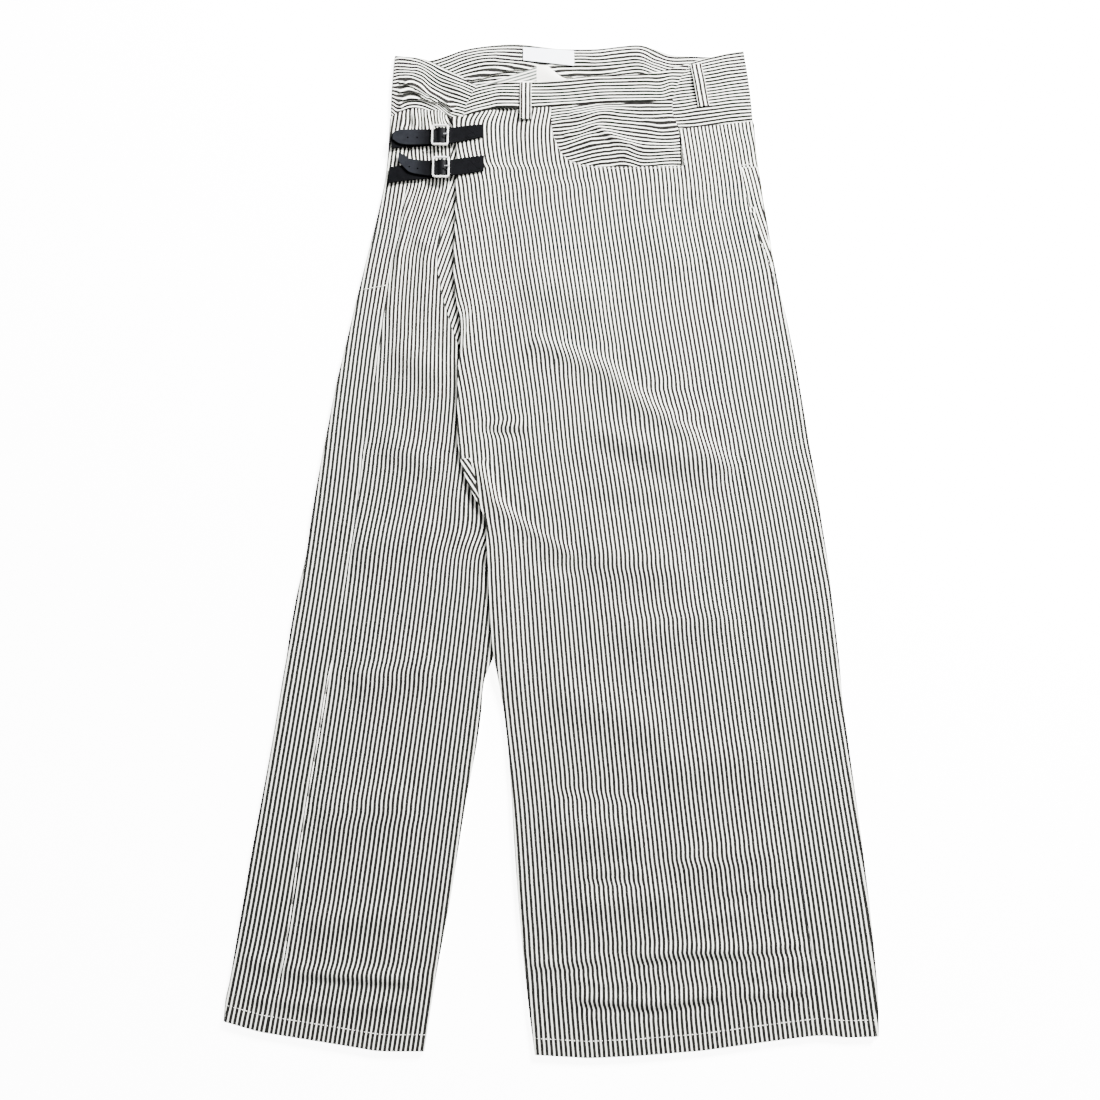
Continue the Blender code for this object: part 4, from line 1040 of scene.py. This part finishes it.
def cloth_shell(name, points, cloth_u, cloth_v, finish, thickness=CLOTH, turned=None):
    """A thin wall on a grid of points, with the cloth's own measures as its UV map.

    turned gives the points where the cloth is turned over, and its measures there.
    """
    rows, columns = points.shape[:2]
    normals = np.cross(np.gradient(points, axis=0), np.gradient(points, axis=1))
    normals /= np.linalg.norm(normals, axis=2, keepdims=True)
    sides = [points + normals * thickness / 2, points - normals * thickness / 2]
    vertices = np.concatenate([side.reshape(-1, 3) for side in sides]) * MM
    number = np.arange(rows * columns).reshape(rows, columns)
    quads = np.stack([number[:-1, :-1], number[1:, :-1], number[1:, 1:], number[:-1, 1:]], -1)
    top = quads.reshape(-1, 4)
    under = top[:, ::-1] + rows * columns
    rim = np.concatenate([number[0], number[1:, -1], number[-1, -2::-1], number[-2:0:-1, 0]])
    following = np.roll(rim, -1)
    edge = np.stack([following, rim, rim + rows * columns, following + rows * columns], -1)
    piece = new_piece(name, vertices.tolist(), np.concatenate([top, under, edge]).tolist())
    data = piece.data
    uv = np.stack([np.tile(np.ravel(cloth_u), 2), np.tile(np.ravel(cloth_v), 2)], -1) * MM
    corners = np.empty(len(data.loops), int)
    data.loops.foreach_get("vertex_index", corners)
    layer = data.uv_layers.new(name="cloth")
    uv = uv[corners]
    if turned:
        zone = np.tile(np.ravel(turned[0]), 2)[corners].reshape(-1, 4).all(axis=1).repeat(4)
        uv[zone, 0] = (np.tile(np.ravel(turned[1]), 2) * MM)[corners][zone]
    layer.data.foreach_set("uv", uv.ravel())
    face_outwards(data)
    data.set_sharp_from_angle(angle=math.radians(50))
    data.materials.append(finish)
    return piece


class Varying:
    """A number that varies over a surface: arithmetic on it adds the nodes that work it out."""

    def __init__(self, finish, socket):
        self.finish = finish
        self.socket = socket

    def math(self, operation, *others):
        sockets = [other.socket if isinstance(other, Varying) else other for other in others]
        node = self.finish.node("ShaderNodeMath", {"operation": operation},
                                {k: value for k, value in enumerate([self.socket, *sockets])})
        return Varying(self.finish, node.outputs[0])

    def __add__(self, other):
        return self.math("ADD", other)

    def __sub__(self, other):
        return self.math("SUBTRACT", other)

    def __mul__(self, other):
        return self.math("MULTIPLY", other)

    def __truediv__(self, other):
        return self.math("DIVIDE", other)

    __radd__ = __add__
    __rmul__ = __mul__

    def __rsub__(self, other):
        return (self * -1.0) + other

    def wave(self):
        return self.math("SINE")

    def distance(self):
        return self.math("ABSOLUTE")

    def repeat(self):
        return self.math("FRACT")

    def step(self, low, high):
        """0 below low, 1 above high and a soft step between them."""
        node = self.finish.node("ShaderNodeMapRange", {"interpolation_type": "SMOOTHSTEP"},
                                {"Value": self.socket, "From Min": low, "From Max": high})
        return Varying(self.finish, node.outputs["Result"])


class Finish:
    """A material with one principled shader."""

    def __init__(self, name, colour, roughness, metallic=0.0, sheen=0.0, gloss=0.03):
        self.material = bpy.data.materials.new(name)
        self.material.use_nodes = True
        self.tree = self.material.node_tree
        self.shader = self.tree.nodes["Principled BSDF"]
        self.set(self.shader, {"Base Color": (*colour, 1.0), "Roughness": roughness,
                               "Metallic": metallic, "Sheen Weight": sheen,
                               "Specular IOR Level": gloss})

    def set(self, node, inputs):
        for name, value in inputs.items():
            if isinstance(value, Varying):
                value = value.socket
            if isinstance(value, bpy.types.NodeSocket):
                self.tree.links.new(value, node.inputs[name])
            else:
                node.inputs[name].default_value = value

    def node(self, kind, settings, inputs):
        """Any node: its type, then its settings, then what its sockets get."""
        node = self.tree.nodes.new(kind)
        for name, value in settings.items():
            setattr(node, name, value)
        self.set(node, inputs)
        return node

    def cloth_place(self):
        """Across and along the cloth, in millimetres."""
        uv = self.node("ShaderNodeUVMap", {"uv_map": "cloth"}, {})
        parts = self.node("ShaderNodeSeparateXYZ", {}, {0: uv.outputs[0]})
        return (Varying(self, parts.outputs[0]) / MM, Varying(self, parts.outputs[1]) / MM)

    def own_place(self):
        """The garment's own coordinates, in metres."""
        return self.node("ShaderNodeTexCoord", {}, {}).outputs["Object"]

    def along(self, axis):
        """How far along one of the garment's axes a point is, in millimetres."""
        parts = self.node("ShaderNodeSeparateXYZ", {}, {0: self.own_place()})
        return Varying(self, parts.outputs[axis]) / MM

    def noise(self, size, detail=2.0):
        """Soft noise of about the given size in millimetres."""
        node = self.node("ShaderNodeTexNoise", {}, {
            "Vector": self.own_place(), "Scale": 1.0 / (size * MM), "Detail": detail})
        return Varying(self, node.outputs["Fac"])

    def mixed(self, share, low, high):
        """A colour between two others, each one numbers or a link."""
        low, high = ((*colour, 1.0) if isinstance(colour, tuple) else colour
                     for colour in (low, high))
        node = self.node("ShaderNodeMix", {"data_type": "RGBA"}, {0: share, 6: low, 7: high})
        return node.outputs[2]

    def bump(self, height, depth, strength=1.0):
        """Relief of the given depth in millimetres."""
        node = self.node("ShaderNodeBump", {}, {"Height": height, "Distance": depth * MM,
                                                "Strength": strength})
        self.set(self.shader, {"Normal": node.outputs[0]})


def striped_finish(name, ground=(0.795, 0.80, 0.735), line_colour=(0.0042, 0.0042, 0.0037),
                   share=LINE_SHARE):
    """Ecru twill with dark woven stripes that run along the cloth."""
    finish = Finish(name, ground, 0.88, sheen=0.03)
    u, v = finish.cloth_place()
    wander = finish.noise(14.0) - 0.5
    off = ((u / PITCH + wander * 0.12).repeat() - 0.5).distance()
    rib = ((u * 9.0 + v * 9.0).wave()) * 0.5 + 0.5
    # Painted shade: the dark lines widen towards the hems, darkening the cloth there
    hem_shade = finish.along(1) * (HEM_SHADE_WIDENING / 2)
    edge = (off + rib * 0.03 + hem_shade).step(share / 2 - 0.09, share / 2 + 0.08)
    dark = 1.0 - edge * edge
    tone = finish.noise(60.0) * 0.10 + rib * 0.05
    pale = finish.mixed(tone, ground, tuple(c * 0.55 for c in ground))
    speck = finish.noise(5.0, 4.0).step(0.35, 0.8)
    deep = finish.mixed(speck, line_colour, tuple(c * 2.2 for c in line_colour))
    finish.set(finish.shader, {"Base Color": finish.mixed(dark, pale, deep)})
    finish.bump(rib * 0.5 + finish.noise(3.0) * 0.5, 0.04, 0.6)
    return finish.material


def plain_finish(name, colour, rib_step=9.0, depth=0.12, roughness=0.85):
    finish = Finish(name, colour, roughness, sheen=0.03)
    u, v = finish.cloth_place()
    rib = ((u * rib_step + v * rib_step).wave()) * 0.5 + 0.5
    tone = finish.noise(12.0) * 0.2 + rib * 0.15
    finish.set(finish.shader,
               {"Base Color": finish.mixed(tone, colour, tuple(c * 0.7 for c in colour))})
    finish.bump(rib, depth, 0.6)
    return finish.material


def leather_finish(name, painted_sheen):
    """Black leather. On the straps, the ends beyond the buckles are painted paler: a painted sheen.
    """
    finish = Finish(name, (0.001, 0.0012, 0.0016), 0.42, gloss=0.02)
    grain = finish.noise(0.8, 4.0)
    crease = finish.noise(6.0, 3.0)
    sheen_reach = (finish.along(0) * -1.0).step(*STRAP_END_SHEEN)
    # Random tone from the crease noise, plus the painted sheen on the straps' ends beyond the
    # buckles
    tone_and_sheen = crease * 0.2 + sheen_reach * (crease * 0.5 + 0.55) * painted_sheen
    finish.set(finish.shader, {
        "Base Color": finish.mixed(tone_and_sheen, (0.0003, 0.0003, 0.0005), (0.0068, 0.0074, 0.0092)),
        "Roughness": grain * 0.25 + crease * 0.2 + 0.34,
    })
    finish.bump(grain * 0.5 + crease * 0.5, 0.35, 0.7)
    return finish.material


def metal_finish(name, colour):
    finish = Finish(name, colour, 0.3, metallic=1.0, gloss=0.5)
    wear = finish.noise(1.5, 5.0)
    finish.set(finish.shader, {"Roughness": wear * 0.1 + 0.4})
    finish.bump(wear, 0.02, 0.5)
    return finish.material


def thread_finish(name, colour):
    finish = Finish(name, colour, 0.7, sheen=0.2)
    finish.bump(finish.noise(0.3), 0.05, 0.5)
    return finish.material


STRIPED = striped_finish("striped_twill")
# The right leg's copy of the twill, darker as painted shade
RIGHT_SHADED_STRIPED = striped_finish("striped_twill_right_shaded", share=RIGHT_SHADED_LINE_SHARE)
BAND_STRIPED = striped_finish("striped_twill_bands", share=BAND_LINE_SHARE)
# Painted shade: a greyer copy of the striped twill, for the inner facing in shade inside the waist
SHADED_STRIPED = striped_finish("striped_twill_inside_shaded", (0.66, 0.65, 0.60), (0.05, 0.055, 0.05))
PLAIN = plain_finish("plain_twill", (0.76, 0.74, 0.68))
LABEL_CLOTH = plain_finish("label_satin", (0.80, 0.83, 0.88), 6.0, 0.04, 0.55)
LEATHER_GRAIN = leather_finish("black_leather_grain", 0.0)
# The straps' finish carries the painted sheen on their ends
STRAP_GRAIN_AND_SHEEN = leather_finish("black_strap_grain_and_sheen", 1.0)
METAL = metal_finish("polished_silver", (0.97, 0.97, 0.96))
# Painted shade: a darker copy of the silver, for the tongue that lies in shade inside the frame
SHADED_METAL = metal_finish("shaded_silver", (0.28, 0.28, 0.29))
THREAD = thread_finish("ecru_thread", (0.72, 0.71, 0.66))
# Dark finish that also paints shade: the strips along the side seams and in the pocket's opening
BLACK_THREAD_AND_SHADE = thread_finish("black_thread_and_painted_shade", (0.006, 0.006, 0.008))


def dressed(node):
    """Hides the solid that a piece of cloth stands for."""
    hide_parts(node)


def on_front(points):
    """The points of a piece that lie on the front side."""
    return points[..., 2] > FRONT_LAYER - 0.3


def leg_panel(grid, stripes, creases, from_last, steps=(9, 5)):
    """One of the four leg panels: its shell with creases and its stripes."""
    points = refined(grid, *steps)
    x, y = points[..., 0], points[..., 1]
    rolled = across(points, from_last)
    calm = edge_calm(points)
    points[..., 2] += np.maximum(creased(creases, x, y), DEEPEST) * calm * on_front(points)
    shifts = LEFT_SHIFTS if stripes is LEFT_STRIPES else RIGHT_SHIFTS
    u = stripe_place(stripes, rolled, y) + shifted(shifts, x, y)
    if stripes is LEFT_STRIPES:
        u = pinched_stripes(x, y, u) + creased(LEFT_BENDS, x, y, sideways=True)
    return points, u


def front_left():
    points, u = leg_panel(front_left_grid(), LEFT_STRIPES, LEFT_CREASES, False, (9, 7))
    turned = turned_stripes(points[..., 0], points[..., 1])
    piece = cloth_shell("left_front_cloth", points, u, points[..., 1], STRIPED, turned=turned)
    dressed("front_left_leg")
    return points


def front_right():
    points, u = leg_panel(front_right_grid(), RIGHT_STRIPES, RIGHT_CREASES, False)
    piece = cloth_shell("right_front_cloth", points, u, points[..., 1], RIGHT_SHADED_STRIPED)
    dressed("front_right_leg")
    return points


def back_left():
    points, u = leg_panel(back_left_grid(), LEFT_STRIPES, LEFT_CREASES, True, (9, 8))
    x, y = points[..., 0], points[..., 1]
    mouth = np.interp(-y, -POCKET_MOUTH["y"], POCKET_MOUTH["x"])
    beyond = (x > mouth) & (y < POCKET_MOUTH["y"][0]) & (y > POCKET_MOUTH["y"][-1])
    beyond = beyond & on_front(points)
    apart = u + 0.5 * PITCH + 0.10 * (y - POCKET_MOUTH["y"][-1])
    piece = cloth_shell("left_back_cloth", points, u - 0.4, y, STRIPED, turned=(beyond, apart))
    dressed("back_left_leg")
    return points


def back_right():
    points, u = leg_panel(back_right_grid(), RIGHT_SIDE_STRIPES, RIGHT_CREASES, True)
    piece = cloth_shell("right_back_cloth", points, u, points[..., 1], RIGHT_SHADED_STRIPED)
    dressed("back_right_leg")
    return points


def tuck():
    points = refined(tuck_grid(), 6, 5)
    u = points[..., 0] - 0.30 * points[..., 1]
    piece = cloth_shell("tucked_cloth", points, u, points[..., 1], STRIPED)
    dressed("front_left_tuck")


def band():
    """The tall waistband. Its stripes keep a set distance from its upper edge."""
    points = refined(waistband_grid(), 7, 9)
    x, y = points[..., 0], points[..., 1]
    drop = np.linalg.norm(np.diff(points[:, ::-1], axis=1), axis=2)
    u = np.concatenate([np.zeros((len(points), 1)), np.cumsum(drop, axis=1)], axis=1)[:, ::-1]
    on_top = points[..., 2] > 2.2
    u = u + np.where(on_top, shifted(BAND_SHIFTS, x, y), shifted(INSIDE_SHIFTS, x, y))
    wrap = (smooth((x + 176) / 10) * smooth((-60 - x) / 5)) * on_top
    u = u + wrap * (stripe_place(WRAP_BAND_STRIPES, y, x) + 2.7 - u)
    calm = edge_calm(points)
    rise = calm * np.where(
        on_top, creased(WRAP_BAND_CREASES, x, y), creased(INSIDE_CREASES, x, y))
    points[..., 2] += rise
    points[..., 1] -= CREASE_LEAN * rise
    along = np.cumsum(np.linalg.norm(np.gradient(points, axis=0), axis=2), axis=0)
    piece = cloth_shell("tall_waistband_cloth", points, u, along, BAND_STRIPED)
    dressed("waistband")


def front_band():
    points = refined(front_band_grid(), 5, 6)
    x, y = points[..., 0], points[..., 1]
    u = y - line(WAIST_SEAM, "y", x) + shifted(BAND_SHIFTS, x, y) + 1.0
    points[..., 2] += creased(FRONT_BAND_CREASES, x, y) * edge_calm(points, 1.5)
    piece = cloth_shell("front_waistband_cloth", points, u, x, BAND_STRIPED)
    dressed("front_waistband")


def facing():
    points = refined(facing_grid(), 9, 9)
    x, y = points[..., 0], points[..., 1]
    u = stripe_place(FACING_STRIPES, y, x)
    points[..., 2] += creased(FACING_CREASES, x, y) * edge_calm(points)
    piece = cloth_shell("pocket_facing_cloth", points, u, x, BAND_STRIPED)
    dressed("pocket_facing")


def inner_facing():
    points = refined(inner_facing_grid(), 6, 5)
    x, y = points[..., 0], points[..., 1]
    # The striped part takes the greyer twill, its shade painted in
    piece = cloth_shell("inner_facing_cloth", points, y - 0.32 * x, x, SHADED_STRIPED)
    piece.data.materials.append(PLAIN)
    for face in piece.data.polygons:
        face.material_index = int(face.center.x > -14.5 * MM)
    dressed("inner_facing")


def label():
    points = refined(label_grid(), 6, 6)
    points[..., 2] += relief(INSIDE_CREASES, points[..., 0], points[..., 1])
    piece = cloth_shell("blank_label", points, points[..., 0], points[..., 1], LABEL_CLOTH, 0.6)
    dressed("label")


def belt_loop(name, node, foot, head, height_at):
    points = refined(loop_grid(foot, head, height_at), 4, 6)
    width = np.linspace(-LOOP_WIDTH / 2, LOOP_WIDTH / 2, points.shape[1])
    u = np.tile(width + PITCH * 0.5, (len(points), 1))
    piece = cloth_shell(name, points, u, points[..., 1], STRIPED)
    dressed(node)


def leather_strap(name, node, rows, rise_at, flat_z):
    points = refined(strap_grid(rows, rise_at, flat_z), 4, 4)
    finish = STRAP_GRAIN_AND_SHEEN if rise_at else LEATHER_GRAIN
    piece = cloth_shell(name, points, points[..., 0], points[..., 1], finish, LEATHER)
    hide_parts(node)
    return piece


def choose(mesh, kind, wanted):
    """Selects the faces or edges of the mesh in edit mode for which wanted is true."""
    for part in (*mesh.verts, *mesh.edges, *mesh.faces):
        part.select = False
    for part in getattr(mesh, kind):
        if wanted(part):
            part.select_set(True)
    mesh.select_flush_mode()


def rod(corners, radius, length, middle, turn=(0, 0, 0)):
    """A round rod with its place and its turn in its mesh."""
    bpy.ops.object.select_all(action="DESELECT")
    bpy.ops.mesh.primitive_cylinder_add(vertices=corners, radius=radius * MM, depth=length * MM,
                                        location=[c * MM for c in middle], rotation=turn)
    bpy.ops.object.transform_apply(location=True, rotation=True, scale=True)
    return bpy.context.object


def buckle(name, node, centre_x, centre_y):
    """A centre-bar buckle: a rounded rectangular frame, and its bowed bar."""
    width, height = (BUCKLE_WIDTH - FRAME_TRIM) * MM, BUCKLE_HEIGHT * MM
    x, y, z = centre_x * MM, centre_y * MM, FRAME_Z * MM
    bpy.ops.mesh.primitive_cube_add(size=1, location=(x, y, z))
    ring = bpy.context.object
    ring.scale = (width, height, 2 * WIRE * MM)
    bpy.ops.object.transform_apply(location=True, rotation=True, scale=True)
    bpy.ops.object.mode_set(mode="EDIT")
    bpy.ops.mesh.select_mode(type="FACE")
    mesh = bmesh.from_edit_mesh(ring.data)
    choose(mesh, "faces", lambda face: abs(face.normal.z) > 0.9)
    bpy.ops.mesh.inset(thickness=FRAME_WALL * MM, depth=0.0)
    bpy.ops.mesh.bridge_edge_loops()
    bpy.ops.mesh.select_mode(type="EDGE")
    for inside, radius in ((False, 2.6), (True, 1.2)):
        mesh = bmesh.from_edit_mesh(ring.data)
        reach = 0.45 * width
        choose(mesh, "edges", lambda edge: (
            abs(edge.verts[0].co.z - edge.verts[1].co.z) > WIRE * MM
            and (abs(edge.verts[0].co.x - x) < reach) == inside))
        bpy.ops.mesh.bevel(offset=radius * MM, segments=4, affect="EDGES")
    bpy.ops.object.mode_set(mode="OBJECT")
    rounding = ring.modifiers.new("rounding", "BEVEL")
    rounding.width = 0.35 * MM
    rounding.segments = 3
    rounding.limit_method = "ANGLE"
    rounding.angle_limit = math.radians(50)
    bpy.ops.object.modifier_apply(modifier="rounding")
    bpy.ops.object.shade_smooth_by_angle(angle=math.radians(40))
    low = BUCKLE_HEIGHT / 2 - WIRE - 1.2
    bar = rod(16, BAR_WIRE, 2 * low, (centre_x, centre_y, BAR_Z), (math.pi / 2, 0, 0))
    for way in (1, -1):
        bpy.ops.object.mode_set(mode="EDIT")
        bpy.ops.mesh.select_mode(type="FACE")
        mesh = bmesh.from_edit_mesh(bar.data)
        choose(mesh, "faces", lambda face: face.normal.y * way > 0.9)
        bpy.ops.mesh.extrude_region_move(TRANSFORM_OT_translate={
            "value": (0, way * 1.0 * MM, (FRAME_Z - BAR_Z) * MM)})
        bpy.ops.object.mode_set(mode="OBJECT")
    bpy.ops.object.shade_smooth_by_angle(angle=math.radians(40))
    ring.select_set(True)
    bpy.context.view_layer.objects.active = ring
    bpy.ops.object.join()
    ring.name = name
    finish_metal(ring, node)


def tongue(name, node, centre_x, centre_y):
    """The buckle's tongue: out of the strap, over the frame's side and a little past it."""
    side = centre_x + BUCKLE_WIDTH / 2 - WIRE
    rest = FRAME_Z + WIRE + SEAM_GAP + TONGUE_WIRE
    pin = rod(12, TONGUE_WIRE, TONGUE_REACH, (side - TONGUE_REACH / 2, centre_y, rest),
              (0, math.pi / 2, 0))
    bpy.ops.object.mode_set(mode="EDIT")
    bpy.ops.mesh.select_mode(type="FACE")
    mesh = bmesh.from_edit_mesh(pin.data)
    choose(mesh, "faces", lambda face: face.normal.x > 0.9)
    bpy.ops.mesh.extrude_region_move(TRANSFORM_OT_translate={"value": (0.9 * MM, 0, -0.1 * MM)})
    bpy.ops.transform.resize(value=(1, 0.6, 0.6))
    bpy.ops.object.mode_set(mode="OBJECT")
    bpy.ops.object.shade_smooth_by_angle(angle=math.radians(50))
    pin.name = name
    # The tongue takes the darker silver, its shade painted in
    finish_metal(pin, node, SHADED_METAL)


def punch(strap, x, y):
    """A round hole through a strap."""
    cutter = rod(16, 0.9, 30.0, (x, y, STRAP_Z))
    hole = strap.modifiers.new("hole", "BOOLEAN")
    hole.object = cutter
    bpy.context.view_layer.objects.active = strap
    bpy.ops.object.modifier_apply(modifier="hole")
    bpy.data.objects.remove(cutter)


def finish_metal(piece, node, finish=METAL):
    piece.data.materials.clear()
    piece.data.materials.append(finish)
    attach(piece, "root")
    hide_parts(node)
    bpy.ops.object.select_all(action="DESELECT")


def inset_line(points, row, distance):
    """The line on a grid that runs a set distance in from its first or last row."""
    columns = points if row == 0 else points[::-1]
    length = np.concatenate([np.zeros((1, points.shape[1])), np.cumsum(
        np.linalg.norm(np.diff(columns, axis=0), axis=2), axis=0)])
    return np.array([[np.interp(distance, length[:, j], columns[:, j, k]) for k in range(3)]
                     for j in range(points.shape[1])])


def stitches(name, runs, finish, stitch=2.4, gap=1.1, radius=0.22, proud=HALF):
    """Rows of short thread stitches along lines on the cloth."""
    vertices, faces = [], []
    for run in runs:
        run = np.array(run, float)
        length = np.concatenate([[0.0], np.cumsum(np.linalg.norm(np.diff(run, axis=0), axis=1))])
        at = 0.6
        while at + stitch < length[-1]:
            ends = [np.array([np.interp(s, length, run[:, k]) for k in range(3)])
                    for s in (at, at + stitch / 2, at + stitch)]
            way = ends[2] - ends[0]
            side = np.array([-way[1], way[0], 0.0]) / np.hypot(way[0], way[1])
            first = len(vertices)
            for place, size, lift in zip(ends, (0.6, 1.0, 0.6), (-0.2, 0.5, -0.2)):
                centre = place + np.array([0, 0, proud + lift * radius])
                for a in range(6):
                    turn = math.pi * a / 3
                    vertices.append(centre + size * radius * (
                        side * math.cos(turn) + np.array([0, 0, math.sin(turn)])))
            for ring in (0, 6):
                for a in range(6):
                    b = (a + 1) % 6
                    faces.append([first + ring + a, first + ring + b,
                                  first + ring + 6 + b, first + ring + 6 + a])
            faces.append([first + a for a in range(5, -1, -1)])
            faces.append([first + 12 + a for a in range(6)])
            at += stitch + gap
    piece = new_piece(name, [list(v * MM) for v in vertices], faces)
    face_outwards(piece.data)
    piece.data.materials.append(finish)


def seam_part(seam, low, high):
    """The stretch of a side seam between two heights."""
    return seam[(seam[:, 1] > low) & (seam[:, 1] < high)]


def seam_edge(name, places, finish=THREAD, radius=0.4):
    """A narrow raised edge of cloth along places on the front side."""
    run = [(x, y, SEAM_EDGE_Z) for x, y in places]
    stitches(name, [run], finish, stitch=6.0, gap=0.0, radius=radius)


def strap_box(rows, left, right):
    """The sewn box and cross that hold a strap's end."""
    z = STRAP_Z + LEATHER / 2 - HALF
    low_left, low_right = (read(rows, "low", x) + SEWN_IN for x in (left, right))
    high_left, high_right = (read(rows, "high", x) - SEWN_IN for x in (left, right))
    a, b, c, d = ((left, low_left, z), (right, low_right, z),
                  (right, high_right, z), (left, high_left, z))
    return [(a, b), (b, c), (c, d), (d, a), (a, c), (b, d)]


def make_floor():
    bpy.ops.mesh.primitive_plane_add(size=8, location=(0, 0, -0.0004))
    ground = bpy.context.object
    ground.name = "pale_floor"
    finish = Finish("pale_floor", (0.95, 0.95, 0.95), 0.95)
    finish.set(finish.shader, {"Emission Color": (1.0, 1.0, 1.0, 1.0), "Emission Strength": 9.0})
    ground.data.materials.append(finish.material)
    bpy.ops.object.select_all(action="DESELECT")
    return ground


def make_light(name, place, size, power):
    data = bpy.data.lights.new(name, "AREA")
    data.size = size
    data.energy = power
    lamp = bpy.data.objects.new(name, data)
    lamp.location = place
    bpy.context.scene.collection.objects.link(lamp)
    aim = lamp.location * -1
    lamp.rotation_euler = aim.to_track_quat("-Z", "Y").to_euler()


def make_camera():
    """The photograph's view: from above, a little towards the hems."""
    data = bpy.data.cameras.new("camera")
    data.sensor_width = 36.0
    data.lens = 36.45
    camera = bpy.data.objects.new("camera", data)
    camera.location = (-0.0005, -0.3232, 1.0645)
    camera.rotation_euler = (math.radians(14.0), 0.0, 0.0)
    bpy.context.scene.collection.objects.link(camera)
    bpy.context.scene.camera = camera


def make_world():
    world = bpy.data.worlds.new("studio")
    world.use_nodes = True
    background = world.node_tree.nodes["Background"]
    background.inputs["Color"].default_value = (1.0, 1.0, 1.0, 1.0)
    background.inputs["Strength"].default_value = 1.1
    bpy.context.scene.world = world


make_camera()
make_world()
make_light("key", (1.4, 1.9, 1.3), 0.7, 900)
floor = make_floor()

left_points = front_left()
right_points = front_right()
left_back_points = back_left()
right_back_points = back_right()
tuck()
band()
front_band()
facing()
inner_facing()
label()
belt_loop("front_loop_cloth", "front_belt_loop", (-27, 423), (-27, 468), front_loop_height)
belt_loop("side_loop_cloth", "side_belt_loop", (167, 439), (160, 492), side_loop_height)
upper = leather_strap("upper_strap_leather", "upper_strap", UPPER_STRAP, UPPER_BUCKLE[0], STRAP_Z)
lower = leather_strap("lower_strap_leather", "lower_strap", LOWER_STRAP, LOWER_BUCKLE[0], STRAP_Z)
for x in (-143.6, -153.6):
    punch(upper, x, 398.0)
for x, y in ((-142.0, 360.4), (-151.0, 362.5)):
    punch(lower, x, y)
leather_strap("upper_anchor_leather", "upper_strap_anchor", UPPER_ANCHOR, None, ANCHOR_Z)
leather_strap("lower_anchor_leather", "lower_strap_anchor", LOWER_ANCHOR, None, ANCHOR_Z)
for name, centre in (("upper", UPPER_BUCKLE), ("lower", LOWER_BUCKLE)):
    buckle(name + "_buckle_metal", name + "_buckle_frame", *centre)
    tongue(name + "_tongue_metal", name + "_buckle_tongue", *centre)

hem_runs = []
for points in (left_points, right_points, left_back_points, right_back_points):
    run = inset_line(points, -1, HEM_STITCH_IN)
    hem_runs.append(run[run[:, 2] > 2.4])
stitches("hem_stitches", hem_runs, THREAD)

scoop_run = inset_line(left_points, 0, 2.0)
stitches("scoop_stitches", [scoop_run[(scoop_run[:, 0] > 2) & (scoop_run[:, 0] < 141)]],
         THREAD)

left_seam, right_seam = left_points[:, 0], right_points[:, 0]
stitches("outseam_edges", [seam_part(right_seam, -600, -165)], THREAD,
         stitch=33.0, gap=-1.0, radius=0.62, proud=HALF - 0.05)
# Painted shade: dark strips laid along stretches of the side seams, where their shadow falls
stitches("outseam_shadows", [seam_part(right_seam, -45, 60), seam_part(left_seam, -150, -50),
                             seam_part(left_seam, -445, -352)],
         BLACK_THREAD_AND_SHADE, stitch=12.0, gap=0.0, radius=0.42, proud=HALF - 0.15)

mouth = list(zip(*POCKET_MOUTH.values()))
seam_edge("pocket_top", [(203.5, 366.5), (221.0, 369.5)], radius=0.45)
seam_edge("pocket_edge", mouth[:3], radius=0.5)
# Painted shadow: a dark strip in the pocket's opening
seam_edge("pocket_gap_shadow", mouth[2:5], BLACK_THREAD_AND_SHADE, radius=0.5)
seam_edge("pocket_lower_edge", mouth[4:])
seam_edge("facing_edge", [(144.4, 366.5), (140.9, 411.4)])
seam_edge("right_pocket_end", [(-195.4, 221.0), (-170.5, 226.0)], radius=0.3)
seam_edge("pocket_stop", [(233.0, 238.0), (234.2, 225.0)], BLACK_THREAD_AND_SHADE, radius=0.3)

strap_runs = strap_box(UPPER_STRAP, -91.0, -79.0) + strap_box(LOWER_STRAP, -88.0, -76.0)
stitches("strap_stitches", strap_runs, LEATHER_GRAIN, stitch=1.7, gap=0.5)
